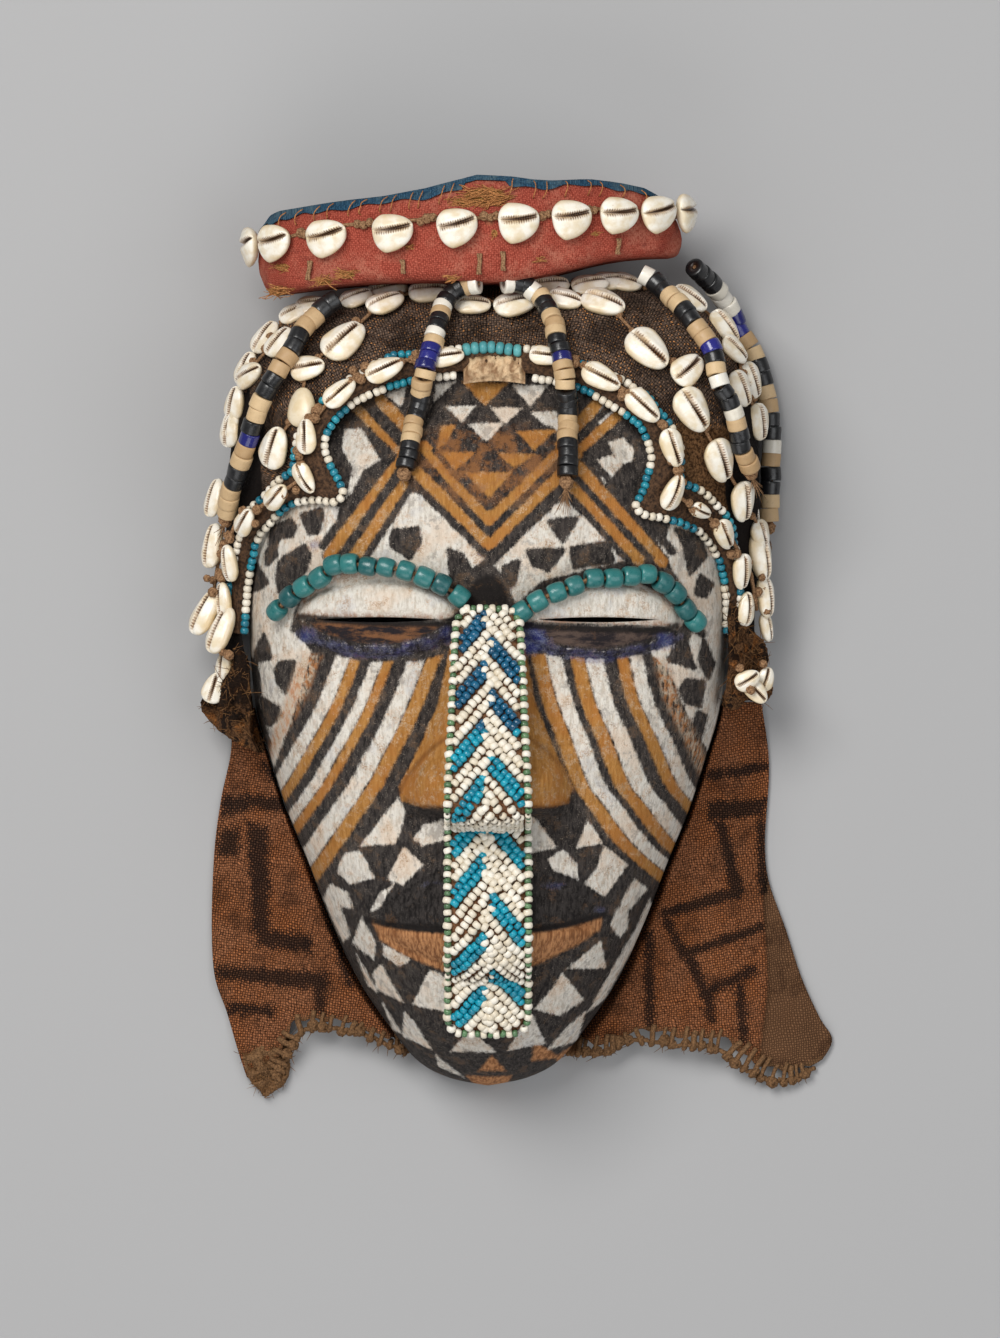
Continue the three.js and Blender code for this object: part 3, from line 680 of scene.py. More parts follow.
def painted_wood():
    """Chalky brushed paint over wood, by how deep a point lies in each painted shape."""
    look = Look("painted_wood", rgb(188, 130, 46), 0.75, Specular_IOR_Level=0.15)
    broad, patch = look.noise(20, 4, 0.6), look.noise(8, 6, 0.72)
    brush = look.noise(1.5, 5, 0.72, stretch=(1, 0.3, 0.6))
    fine, worn = look.noise(0.5, 3, 0.65), look.noise(3.6, 6, 0.75)
    grain = look.noise(1.1, 4, 0.65, stretch=(1, 0.1, 0.4))
    scratch = look.noise(0.8, 4, 0.7, stretch=(1, 0.3, 0.6)).ramp(0.6, 0.68) * worn.ramp(0.5, 0.6)
    tired = (patch * 0.5 + worn * 0.5).ramp(0.5, 0.6)
    edge = (brush - 0.5) * 4.6 + (fine - 0.5) * 2.8 + (worn - 0.5) * 4.4
    black = look.mix(brush.ramp(0.35, 0.66), rgb(32, 29, 29), rgb(76, 69, 65))
    black = look.mix(patch.ramp(0.5, 0.62) * 0.5, black, rgb(98, 84, 72))
    black = look.mix(fine.ramp(0.58, 0.64) * worn.ramp(0.46, 0.56) * 0.6, black, rgb(178, 166, 152))
    glossy = look.mix(brush.ramp(0.36, 0.62), rgb(20, 17, 16), rgb(58, 54, 53))
    black = look.mix(look.value("gloss") * 0.75, black, glossy)
    ochre = look.mix(grain.ramp(0.3, 0.7), rgb(160, 108, 50), rgb(190, 138, 76))
    ochre = look.mix(broad.ramp(0.42, 0.62) * 0.6, ochre, rgb(176, 112, 54))
    ochre = look.mix(brush.ramp(0.3, 0.42, 1, 0) * 0.5, ochre, rgb(126, 82, 42))
    ochre = look.mix(tired * fine.ramp(0.42, 0.56) * 0.7, ochre, rgb(214, 190, 158))
    ochre = look.mix(scratch * 0.6, ochre, rgb(92, 62, 38))
    white = look.mix(brush.ramp(0.32, 0.6), rgb(196, 186, 172), rgb(231, 225, 215))
    white = look.mix(broad.ramp(0.5, 0.66) * 0.5, white, rgb(226, 200, 174))
    white = look.mix(broad.ramp(0.34, 0.42, 1, 0) * 0.3, white, rgb(186, 188, 196))
    white = look.mix(tired * fine.ramp(0.4, 0.56) * 0.6, white, rgb(196, 152, 108))
    white = look.mix(scratch * 0.7 * (1 - look.value("eyelid") * 0.7), white, rgb(112, 98, 90))
    white = look.mix(patch.ramp(0.38, 0.45, 1, 0) * 0.55 * (1 - look.value("eyelid")), white, rgb(146, 136, 128))
    # Painted shade with dirt: the lids' white turns brown along their edges, under the brow beads and towards the slits
    white = look.mix(look.value("lid_edge_shade_and_dirt") * (brush * 0.5 + worn * 0.5).ramp(0.42, 0.56), white, rgb(146, 104, 78))
    tan = look.mix(grain.ramp(0.35, 0.62), rgb(132, 84, 50), rgb(196, 140, 94))
    streaks = look.noise(3.2, 5, 0.65, stretch=(0.25, 1, 1)).ramp(0.4, 0.62)
    rightward = look.parts(look.place())[0].ramp(-4, 4)
    lid_brown = look.mix(rightward, rgb(124, 84, 56), rgb(94, 78, 70))
    tan = look.mix(look.value("lid"), tan, look.mix(streaks, rgb(38, 33, 36), lid_brown))
    color = black
    for name, color_of, soft in (("ochre", ochre, 0.75), ("tan", tan, 0.9), ("white", white, 0.65)):
        color = look.mix((look.value(name) + edge * 0.5).ramp(-soft, soft), color, color_of)
    blue = (look.value("blue") + (brush - 0.5) * 4 + (patch - 0.5) * 9).ramp(-1.4, 3.4)
    rims = abs(look.value("white") + edge * 0.5).ramp(0, 0.4, 1, 0) * patch.ramp(0.6, 0.66) * 0.35
    chalk = (worn * 0.6 + fine * 0.4).ramp(0.42, 0.6)
    color = look.mix((blue * 0.7).above(rims), color, look.mix(chalk, rgb(42, 52, 132), rgb(126, 136, 172)))
    # Painted shade: dark lines along the eye slits and between the lips, and a dark patch between the eyes
    dark = (look.value("dark") + (brush - 0.5) * 2 + (worn - 0.5) * 2).ramp(-0.6, 1.2)
    color = look.mix(dark * 0.88, color, rgb(30, 26, 25))
    smear = look.value("smear") * brush.ramp(0.36, 0.56)
    color = look.mix(smear * 0.85, color, look.mix(worn.ramp(0.42, 0.58), rgb(188, 124, 72), rgb(204, 184, 160)))
    color = look.mix(look.value("rub") * patch.ramp(0.4, 0.6) * (0.35 + fine * 0.6), color, rgb(156, 102, 56))
    # Painted shade in the creases round the nose's wings and along the nostrils
    color = look.mix(look.value("crease") * 0.55, color, rgb(104, 62, 32))
    rubbed = patch.ramp(0.56, 0.64) * fine.ramp(0.45, 0.56) * 0.4
    color = look.mix(rubbed, color, rgb(118, 84, 54))
    inside = look.value("inside")
    bare = look.mix(grain.ramp(0.3, 0.7), rgb(84, 58, 38), rgb(124, 90, 60))
    look.set("Base Color", look.mix(inside, color, bare))
    look.set("Roughness", look.value("lacquer").ramp(0, 1, 0.76, 0.42) + (brush - 0.5) * 0.2)
    look.bump(brush * 0.8 + worn * 0.9 + fine * 0.5 + grain * 0.5 + patch, 0.6)
    return look.material


def weave_height(look, at, pitch):
    """Height of a plain weave at a place in millimetres: a float at every crossing, every second one higher."""
    u, v, _ = look.parts(at)
    u, v = u / pitch, v / pitch
    over = (u.floor() + v.floor()) % 2
    return (abs((u * math.pi).sin()) * abs((v * math.pi).sin())) ** 0.6 * (1 - over * 0.42)


def cloth(name, low, high, pitch, rough=0.95, depth=0.5, fleck=None, fleck_share=0.62, fade=None):
    """Coarse woven cloth; its threads follow the mesh's weave coordinates, in millimetres."""
    look = Look(name, high, rough, Specular_IOR_Level=0.06)
    at = look.vector("weave")
    for size, reach in ((9, 3.2), (2.4, 0.3)):
        wobble = look.noise(size, 2, 0.5, vector=at)
        spread = look.node("ShaderNodeCombineXYZ", inputs={0: (wobble - 0.5) * reach, 1: (wobble - 0.5) * -reach})
        at = look.node("ShaderNodeVectorMath", {"operation": "ADD"}, {0: at, 1: spread})
    height = weave_height(look, at, pitch)
    patchy = look.noise(18, 6, 0.7)
    thread = look.noise(pitch * 0.9, 3, 0.6, vector=at, stretch=(1, 0.5, 1))
    # Painted light on the weave: the raised tops of the threads lighter and the hollows darker, with the threads' own
    # colour varying
    color = look.mix(height.ramp(0.15, 0.9) * 0.6 + thread.ramp(0.34, 0.68) * 0.45, low, high)
    if fade:
        color = look.mix(patchy.ramp(0.42, 0.66) * thread.ramp(0.3, 0.6) * 0.85, color, fade)
    if fleck:
        spots = look.noise(pitch * 0.8, 2, 0.5, vector=at)
        shown = spots.ramp(fleck_share, fleck_share + 0.04) * height.ramp(0.4, 0.8) * patchy.ramp(0.4, 0.5)
        color = look.mix(shown, color, fleck)
    return look, color, height, patchy, depth


def hood_cloth():
    """Dark hood: coarse weave with rusty flecks on top, black and furry at the sides, worn felt below."""
    look, color, height, patchy, depth = cloth("hood_cloth", rgb(9, 7, 6), rgb(128, 107, 93), 1.2,
                                               fleck=rgb(206, 142, 84), fleck_share=0.54)
    color = look.mix(look.noise(14, 4, 0.6).ramp(0.44, 0.62, 0, 0.6), color, rgb(20, 15, 13))
    side = (look.value("side") + (look.noise(7, 4) - 0.5) * 0.9).ramp(0.3, 0.6)
    color = look.mix(side, color, look.mix(look.noise(0.8, 3), rgb(10, 9, 9), rgb(40, 34, 32)))
    felt = (look.value("felt") + (look.noise(9, 5, 0.7) - 0.5) * 1.2).ramp(0.3, 0.6)
    brown = look.mix(look.noise(1.3, 4, 0.7).ramp(0.35, 0.65), rgb(50, 33, 20), rgb(126, 92, 62))
    look.set("Base Color", look.mix(felt, color, brown))
    soft = look.noise(0.7, 4, 0.7)
    woven = height * (1 - side) * (1 - felt)
    look.bump(woven + soft * (side * 1.2 + felt * 1.6) + patchy * 2 + look.noise(12, 2) * 7, depth)
    return look.material


def felt():
    """Worn brown felt with rusty and black patches."""
    look = Look("felt", rgb(92, 64, 42), 0.97, Specular_IOR_Level=0.1)
    fine, wide = look.noise(0.9, 5, 0.75), look.noise(6, 5, 0.7)
    color = look.mix(fine.ramp(0.34, 0.64), rgb(32, 21, 13), rgb(116, 82, 55))
    rusty = look.mix(fine.ramp(0.4, 0.6), rgb(96, 56, 26), rgb(176, 112, 58))
    color = look.mix(wide.ramp(0.5, 0.6) * 0.7, color, rusty)
    across, up, _ = look.parts(look.place())
    upper = (up + (wide - 0.5) * 24).ramp(-38, -30) * across.ramp(-60, -40, 1, 0)
    black = look.noise(8, 4, 0.6).ramp(0.52, 0.58).above(upper)
    look.set("Base Color", look.mix(black * 0.9, color, rgb(22, 17, 15)))
    look.bump(fine + wide, 0.9)
    return look.material


def red_cloth():
    """Faded red cloth, stained, with straw that shows through its holes."""
    look, color, height, _, depth = cloth("red_cloth", rgb(120, 46, 36), rgb(190, 98, 80), 0.75,
                                               depth=0.18, fade=rgb(182, 116, 96))
    stain = look.noise(11, 5, 0.7).ramp(0.6, 0.72)
    color = look.mix(stain * 0.6, color, rgb(112, 52, 46))
    spots = look.cells(26).ramp(0.0, 0.12, 1, 0)
    color = look.mix(spots * 0.5, color, rgb(196, 150, 110))
    straw = look.mix(look.noise(0.8, 3, 0.7, stretch=(0.3, 1, 1)).ramp(0.3, 0.7), rgb(110, 72, 30), rgb(206, 160, 92))
    bare = (look.value("bare") + (look.noise(2.2, 4, 0.7) - 0.5) * 2.4).ramp(-0.1, 0.4)
    look.set("Base Color", look.mix(bare, color, straw))
    look.bump(height + look.noise(8, 3) * 3 + bare * look.noise(0.7, 3) * 3, depth)
    return look.material


def blue_cloth():
    """Faded dark blue cloth."""
    look, color, height, _, depth = cloth("blue_cloth", rgb(27, 52, 73), rgb(60, 98, 124), 0.7,
                                          depth=0.2, fade=rgb(92, 112, 118))
    look.set("Base Color", color)
    look.bump(height + look.noise(6, 3) * 2, depth)
    return look.material


def flap_cloth():
    """Brown raffia cloth with dark bars."""
    look, color, height, patchy, depth = cloth("flap_cloth", rgb(44, 25, 16), rgb(176, 116, 80), 1.05,
                                               rough=0.85, depth=0.6)
    # Rusty patches, with painted light on the raised threads
    rusty = look.mix(height.ramp(0.2, 0.9), rgb(72, 37, 20), rgb(178, 108, 60))
    color = look.mix(patchy.ramp(0.35, 0.7) * 0.75, color, rusty)
    # The paler second layer, with painted light on its raised threads
    paler = look.mix(height.ramp(0.2, 1) * 0.6 + patchy * 0.3, rgb(74, 50, 34), rgb(146, 108, 78))
    color = look.mix(look.value("second"), color, paler)
    color = look.mix(look.noise(12, 5, 0.7).ramp(0.5, 0.66) * 0.5, color, rgb(44, 27, 18))
    bars = (look.value("bars") + (look.noise(3, 4, 0.6) - 0.5) * 5 + (height - 0.5) * -1.6).ramp(-1.0, 1.8)
    # The dark bars, with painted light on the raised threads
    color = look.mix(bars * 0.88, color, look.mix(height.ramp(0.2, 1), rgb(20, 15, 14), rgb(58, 44, 36)))
    hem = look.value("hem").ramp(0, 1)
    color = look.mix(hem * 0.55, color, rgb(112, 84, 58))
    look.set("Base Color", color)
    look.bump(height, depth)
    return look.material


def shell():
    """Polished cream shell with a toothed slit, drawn from each shell's own millimetres."""
    look = Look("shell", rgb(236, 228, 208), 0.32, Specular_IOR_Level=0.5, Coat_Weight=0.2, Coat_Roughness=0.2)
    x, y, z = look.parts(look.vector("shell"))
    off = abs(y - x * x * 0.008 - x * 0.034 - 0.1)
    face = z.ramp(-0.4, 0.6)
    ends = abs(x).ramp(6.6, 8.2, 1, 0)
    open_ = x.ramp(-8, 5, 0.34, 1.05)
    slit = (off - open_ * 0.8).ramp(-0.4, 0.15, 1, 0) * face * abs(x).ramp(7.2, 8.2, 1, 0)
    ridges = (x * (2 * math.pi / 1.05)).sin()
    zone = off.ramp(0.3, 0.6) * off.ramp(0.9, 1.9, 1, 0) * face * ends * look.noise(3, 2).ramp(0.36, 0.56, 0.25, 1)
    cloudy, spots = look.noise(5.5, 3), look.noise(1.2, 4, 0.7)
    color = look.mix(cloudy.ramp(0.38, 0.68), rgb(247, 241, 228), rgb(230, 214, 184))
    # Painted shade: darker tan towards the shell's sides
    rim = abs(y).ramp(4.0, 6.4)
    color = look.mix(rim * 0.55, color, rgb(204, 172, 116))
    # Painted shade on the shell's underside
    color = look.mix(z.ramp(-0.6, 0.8, 1, 0) * 0.5, color, rgb(206, 180, 128))
    color = look.mix(spots.ramp(0.64, 0.74) * 0.45, color, rgb(172, 134, 90))
    # Painted shade: darker tan where the lips fall into the slit, and brown between the teeth
    color = look.mix(off.ramp(0.4, 1.7, 1, 0) * face * ends * 0.45, color, rgb(190, 146, 92))
    color = look.mix(ridges.ramp(-0.6, 0.4, 1, 0) * zone * 0.8, color, rgb(120, 76, 42))
    # Painted shade: the slit dark brown, the teeth lighter than the gaps between them
    color = look.mix(slit, color, look.mix(ridges.ramp(-0.4, 0.4), rgb(44, 27, 16), rgb(112, 74, 44)))
    look.set("Base Color", color)
    look.set("Roughness", cloudy.ramp(0.3, 0.7, 0.26, 0.42))
    look.bump(look.noise(6, 2) * 0.5 + ridges * zone * 0.5 + spots * 0.1, 0.35)
    return look.material


def glass(name, color, deep, rough, wear, coat=0.4, dust=(196, 176, 150)):
    """Opaque glass or ground stone beads, each in its own shade."""
    color, deep, dust = rgb(*color), rgb(*deep), rgb(*dust)
    look = Look(name, color, rough, Specular_IOR_Level=0.5, Coat_Weight=coat, Coat_Roughness=0.12)
    tone, cloudy = look.value("tone"), look.noise(2.4, 4, 0.65)
    shade = look.mix(tone * 0.7 + cloudy * 0.4, deep, color)
    shade = look.mix(look.noise(1.1, 4, 0.7).ramp(0.56, 0.72) * wear, shade, dust)
    # Painted shade in and round each bead's bore
    shade = look.mix(look.value("bore") * 0.85, shade, rgb(60, 36, 22))
    look.set("Base Color", shade)
    look.set("Roughness", cloudy.ramp(0.3, 0.7, rough * 0.8, rough * 1.5))
    look.bump(cloudy, 0.12)
    return look.material


def fibre(name, low, high, size):
    """Plain cord, straw or hair, mottled between two colours."""
    low, high = rgb(*low), rgb(*high)
    look = Look(name, high, 0.9, Specular_IOR_Level=0.2)
    look.set("Base Color", look.mix(look.noise(size, 4, 0.7).ramp(0.3, 0.7), low, high))
    look.bump(look.noise(size * 0.7, 3), 0.3)
    return look.material


def leather():
    """Creased tan hide."""
    look = Look("leather", rgb(196, 162, 132), 0.55, Specular_IOR_Level=0.3)
    crease, fine = look.noise(4.5, 4, 0.6, stretch=(1, 0.5, 1)), look.noise(0.9, 4, 0.65)
    color = look.mix(crease.ramp(0.36, 0.62), rgb(146, 112, 80), rgb(216, 186, 148))
    look.set("Base Color", look.mix(fine.ramp(0.54, 0.7) * 0.45, color, rgb(132, 92, 66)))
    look.bump(crease * 2 + fine * 0.5, 0.7)
    return look.material


# Glass and stone beads: colour, its deeper shade, roughness, wear, coat and dust
GLASS = {
    "white_seed": ((246, 240, 228), (212, 198, 172), 0.34, 0.12, 0.12),
    "teal_seed": ((40, 148, 166), (18, 92, 116), 0.25, 0.06, 0.2),
    "turquoise": ((104, 182, 182), (62, 138, 146), 0.4, 0.5, 0.05, (112, 96, 84)),
    "bright_seed": ((16, 160, 184), (10, 104, 128), 0.25, 0.05, 0.2),
    "deep_seed": ((24, 100, 136), (14, 62, 90), 0.22, 0.05, 0.25),
    "green_seed": ((96, 136, 92), (58, 90, 58), 0.35, 0.12),
    "brow_glass": ((50, 126, 124), (14, 62, 68), 0.3, 0.2, 0.2, (140, 176, 168)),
    "black_disc": ((30, 30, 32), (14, 14, 16), 0.3, 0.08, 0.15, (96, 92, 88)),
    "tan_disc": ((216, 188, 146), (168, 132, 90), 0.5, 0.4, 0.0, (132, 102, 70)),
    "white_disc": ((240, 235, 224), (214, 205, 186), 0.28, 0.1),
    "blue_disc": ((40, 42, 128), (20, 22, 84), 0.2, 0.06, 0.4, (130, 130, 170)),
}
# Cord, straw and fibres: darker and lighter colour, and the size of their mottling in millimetres
FIBRES = {
    "cord": ((98, 68, 46), (176, 138, 102), 0.7),
    "straw": ((128, 78, 40), (206, 146, 92), 0.7),
    "hem_cord": ((66, 46, 30), (142, 106, 72), 0.7),
    "edging": ((32, 24, 20), (96, 70, 50), 1.4),
    "backing": ((72, 46, 30), (142, 100, 70), 1.0),
    "fuzz": ((62, 42, 26), (150, 108, 68), 1.2),
}
OTHER_MATERIALS = {"painted_wood": painted_wood, "hood_cloth": hood_cloth, "felt": felt, "red_cloth": red_cloth,
                   "blue_cloth": blue_cloth, "flap_cloth": flap_cloth, "shell": shell, "leather": leather}


def material(name):
    found = bpy.data.materials.get(f"mask_{name}")
    if found:
        return found
    if name in GLASS:
        return glass(name, *GLASS[name])
    if name in FIBRES:
        return fibre(name, *FIBRES[name])
    return OTHER_MATERIALS[name]()


# The paint

class Canvas:
    """Painted shapes as fields: how far each point lies inside a shape, in photo pixels."""

    def __init__(self, x, y):
        self.u, self.v = x / PIXEL_MM + MIDLINE_U, EYE_LINE_V - y / PIXEL_MM

    def distance(self, starts, ends):
        """How far each point is from the nearest of some straight pieces."""
        best = np.full(self.u.shape, 1e9)
        for (x0, y0), (x1, y1) in zip(starts, ends):
            dx, dy = x1 - x0, y1 - y0
            t = np.clip(((self.u - x0) * dx + (self.v - y0) * dy) / (dx * dx + dy * dy), 0, 1)
            best = np.minimum(best, np.hypot(self.u - x0 - t * dx, self.v - y0 - t * dy))
        return best

    def polygon(self, points):
        p = np.asarray(points, float)
        after, inside = np.roll(p, -1, axis=0), np.zeros(self.u.shape, bool)
        for (x0, y0), (x1, y1) in zip(p, after):
            if y0 != y1:
                inside ^= ((y0 > self.v) != (y1 > self.v)) & (self.u < (x1 - x0) * (self.v - y0) / (y1 - y0) + x0)
        best = self.distance(p, after)
        return np.where(inside, best, -best)

    def polygons(self, many):
        return np.max([self.polygon(p) for p in many], axis=0)

    def stroke(self, points, width):
        return width / 2 - self.distance(points, points[1:])

    def strokes(self, many, width):
        return np.max([self.stroke(p, width) for p in many], axis=0)

    def oval(self, u, v, ru, rv):
        return (1 - np.hypot((self.u - u) / ru, (self.v - v) / rv)) * min(ru, rv)

    def between(self, t, spans):
        return np.max([np.minimum(t - a, b - t) for a, b in spans], axis=0)


# Painted shapes, in photo pixels. RIDGE is the side of the nose, down to the jaw; STRIPES run along it, at
# distances from it, and CHEEK is the area that they fill
RIDGE = {
    "left": [(457, 640), (447, 664), (433, 700), (422, 726), (406, 758), (395, 780), (370, 818), (350, 848),
             (322, 888), (296, 922)],
    "right": [(522, 650), (534, 700), (547, 736), (565, 787), (577, 803), (606, 843), (662, 893), (690, 918)],
}
STRIPES = {
    "left": {"ochre": [(8, 22), (54, 64), (87, 98)], "white": [(23, 40), (65, 76), (99, 113)], "smear": (126, 150)},
    "right": {"ochre": [(8, 22), (46, 60), (92, 104)], "white": [(23, 38), (61, 78), (105, 118)], "smear": (128, 146)},
}
CHEEK = {
    "left": [(452, 655), (415, 664), (365, 664), (320, 654), (298, 652), (284, 700), (268, 740), (262, 775),
             (300, 925), (360, 850), (400, 780), (440, 700)],
    "right": [(520, 655), (560, 658), (610, 662), (650, 654), (668, 660), (690, 700), (706, 742), (712, 770),
              (690, 830), (668, 900), (606, 846), (566, 790), (530, 700)],
}
FOREHEAD = [(462, 373), (440, 378), (380, 394), (350, 412), (330, 440), (324, 462), (345, 505), (318, 566),
            (440, 580), (480, 640), (520, 640), (560, 590), (700, 585), (712, 540), (636, 508), (652, 470),
            (648, 440), (610, 406), (560, 385), (528, 378)]
OCHRE_LINES = [
    [(489, 545), (418, 474)], [(489, 545), (562, 474)], [(489, 521), (452, 480), (424, 448)],
    [(489, 521), (530, 480), (562, 446)], [(359, 412), (398, 456)], [(381, 401), (408, 430)], [(398, 458), (330, 556)],
    [(405, 486), (356, 556)], [(618, 416), (578, 454)], [(578, 468), (662, 562)], [(574, 490), (638, 560)],
    [(597, 405), (576, 428)],
]
BLACK_BANDS = [
    [(491, 562), (412, 482)], [(491, 562), (570, 480)], [(489, 534), (440, 482), (416, 458)],
    [(489, 534), (535, 488), (566, 456)], [(489, 509), (462, 482), (436, 452)], [(489, 509), (520, 480), (552, 448)],
    [(350, 414), (394, 457), (324, 546)], [(370, 405), (402, 440)], [(404, 472), (343, 556)], [(412, 488), (368, 556)],
    [(628, 418), (586, 456), (672, 552)], [(608, 409), (576, 440)], [(576, 480), (650, 560)], [(570, 498), (628, 562)],
]
FOREHEAD_OCHRE = [
    [(462, 383), (508, 384), (485, 407)], [(441, 428), (456, 426), (446, 446), (438, 450)],
    [(516, 433), (556, 431), (534, 452)], [(440, 453), (476, 454), (456, 472)], [(497, 455), (535, 456), (514, 470)],
    [(466, 474), (512, 474), (489, 500)],
]
FOREHEAD_WHITE = [
    [(436, 387), (456, 382), (434, 404)], [(512, 386), (548, 386), (530, 408)], [(446, 408), (476, 407), (462, 424)],
    [(490, 408), (522, 410), (505, 426)], [(530, 414), (556, 412), (560, 432), (544, 426)],
    [(468, 426), (504, 424), (487, 444)],
    [(346, 430), (362, 430), (372, 446), (381, 461), (364, 472), (352, 494), (346, 500), (354, 470), (342, 448)],
    [(608, 444), (622, 438), (634, 450), (632, 462), (618, 466)], [(594, 462), (612, 456), (622, 466), (604, 486)],
    [(384, 395), (406, 388), (402, 408)], [(600, 402), (622, 412), (598, 426)],
    [(412, 494), (432, 500), (484, 560), (470, 570), (456, 552), (446, 584), (400, 574), (366, 556), (386, 530)],
    [(494, 566), (556, 506), (566, 502), (626, 560), (580, 572), (540, 582), (516, 604), (506, 580)],
]
FOREHEAD_BLACK = [
    [(394, 532), (418, 530), (420, 544), (410, 558), (392, 546)], [(450, 552), (462, 556), (474, 578), (452, 580)],
    [(550, 523), (576, 520), (562, 542)], [(528, 552), (562, 551), (548, 570), (534, 566)],
    [(571, 550), (606, 544), (612, 562), (574, 567)], [(505, 568), (518, 562), (514, 584), (500, 590)],
]
TEMPLE_WHITE = {
    "left": [(340, 508), (330, 560), (298, 600), (290, 630), (312, 650), (302, 690), (284, 740), (268, 780),
             (236, 760), (220, 690), (220, 600), (240, 530), (300, 500)],
    "right": [(640, 510), (700, 520), (750, 560), (756, 640), (748, 690), (722, 772), (690, 720), (668, 672),
              (650, 652), (690, 640), (698, 610), (672, 570)],
}
TEMPLE_BLACK = [
    [(302, 516), (321, 510), (324, 514), (319, 533), (310, 534), (306, 526)],
    [(271, 528), (291, 520), (296, 526), (292, 536), (280, 538), (276, 546), (277, 556), (267, 565), (266, 554),
     (270, 542)],
    [(280, 562), (294, 552), (305, 546), (310, 554), (307, 567), (300, 579), (284, 587), (279, 592), (277, 579)],
    [(255, 562), (267, 583), (258, 589), (250, 590)], [(263, 635), (267, 644), (270, 658), (256, 661), (254, 654)],
    [(280, 663), (294, 662), (293, 675), (286, 693), (278, 681), (276, 670)],
    [(244, 656), (255, 662), (258, 679), (259, 693), (253, 702), (247, 684)],
    [(261, 698), (278, 709), (281, 716), (270, 725), (261, 722)],
    [(254, 698), (262, 722), (268, 742), (266, 760), (258, 734)],
    [(652, 516), (668, 522), (662, 542), (650, 530)], [(676, 530), (700, 536), (706, 556), (690, 574), (684, 548)],
    [(700, 576), (712, 584), (706, 596), (696, 594)], [(686, 610), (700, 618), (704, 636), (690, 628)],
    [(676, 644), (684, 636), (694, 668), (668, 660)], [(704, 640), (714, 664), (708, 678), (700, 660)],
    [(686, 680), (704, 682), (700, 706), (686, 702), (680, 690)], [(698, 712), (706, 716), (700, 742), (692, 730)],
]
MOUTH_FIELD = [(404, 770), (372, 824), (350, 853), (318, 896), (310, 930), (350, 990), (400, 1050), (450, 1084),
               (488, 1096), (540, 1084), (582, 1052), (630, 984), (664, 920), (662, 898), (604, 848), (574, 806),
               (560, 776)]
JAW_WHITE = [
    [(399, 796), (406, 812), (397, 842), (360, 846)], [(414, 838), (424, 824), (444, 818), (444, 838), (424, 845)],
    [(344, 853), (360, 850), (376, 877), (350, 884), (337, 872)], [(404, 846), (424, 863), (404, 884), (388, 878)],
    [(330, 884), (348, 892), (353, 908), (340, 906), (350, 936), (342, 944), (322, 900)],
    [(380, 892), (394, 884), (380, 906), (370, 912)], [(362, 916), (376, 942), (374, 960), (352, 944)],
    [(384, 944), (412, 958), (400, 966), (384, 956)], [(381, 963), (404, 1003), (376, 990), (372, 974)],
    [(430, 968), (448, 976), (452, 1012), (412, 1004)], [(356, 954), (378, 994), (368, 988)],
    [(404, 1012), (414, 1022), (432, 1050), (402, 1038)], [(382, 1004), (402, 1036), (392, 1032)],
    [(470, 1028), (496, 1052), (450, 1052)], [(436, 1056), (464, 1080), (438, 1068)],
    [(524, 814), (536, 818), (556, 846), (528, 852)], [(587, 818), (602, 842), (576, 847)],
    [(562, 848), (576, 862), (578, 879), (552, 868), (548, 858)],
    [(604, 844), (628, 864), (604, 896), (584, 882), (596, 868)],
    [(634, 878), (648, 890), (628, 912), (628, 928), (620, 938), (610, 924), (624, 896)],
    [(650, 900), (656, 912), (606, 1000), (588, 1014), (612, 970), (636, 930)],
    [(601, 940), (606, 968), (566, 968)], [(562, 972), (584, 1000), (560, 1016), (534, 1008), (552, 988)],
    [(586, 1012), (578, 1044), (548, 1050), (566, 1028)], [(532, 1014), (546, 1044), (508, 1050), (520, 1028)],
]
JAW_TAN = [
    [(478, 1072), (492, 1056), (506, 1072)], [(466, 1078), (512, 1078), (506, 1090), (476, 1090)],
    [(534, 1042), (548, 1050), (560, 1060), (532, 1062)], [(556, 1058), (576, 1048), (560, 1072)],
]
LOWER_LIP = [(372, 921), (386, 926), (405, 929), (430, 931), (488, 933), (545, 930), (575, 925), (602, 916),
             (600, 929), (575, 945), (530, 966), (488, 972), (443, 969), (400, 953), (380, 938)]
NOSE_SHAPE = [(452, 640), (438, 706), (414, 758), (400, 786), (402, 800), (424, 806), (552, 806), (568, 802),
              (572, 786), (552, 744), (534, 700), (524, 640)]
EYELID = {
    "left": [(296, 617), (300, 604), (316, 590), (336, 576), (364, 570), (404, 573), (440, 588), (462, 606), (452, 618),
             (440, 620), (321, 617)],
    "right": [(522, 622), (526, 612), (548, 598), (576, 588), (604, 580), (636, 582), (664, 596), (688, 620),
              (676, 630), (660, 626), (536, 622)],
}
LOWER_LID = {
    "left": [(300, 620), (321, 618), (380, 621), (440, 622), (452, 622), (430, 638), (396, 648), (350, 646),
             (318, 634)],
    "right": [(530, 624), (600, 626), (664, 628), (674, 630), (650, 644), (600, 653), (556, 648), (534, 634)],
}


# Small spots of blue paint: middle and radii
BLUE_SPOTS = [(530, 640, 22, 20), (664, 640, 14, 12), (306, 636, 16, 10), (446, 634, 10, 12), (330, 566, 8, 5),
              (650, 430, 8, 10), (430, 882, 12, 4), (556, 884, 14, 4), (600, 910, 8, 5), (316, 546, 6, 6),
              (690, 516, 12, 10)]
# Lines of painted shade along the eye slits and between the lips
LID_LINES = [[(300, 617), (321, 619), (380, 624), (440, 624), (456, 620)],
             [(526, 626), (600, 630), (664, 630), (676, 626)]]
MOUTH_LINE = [(366, 919), (400, 925), (430, 927), (488, 929), (550, 926), (604, 914)]
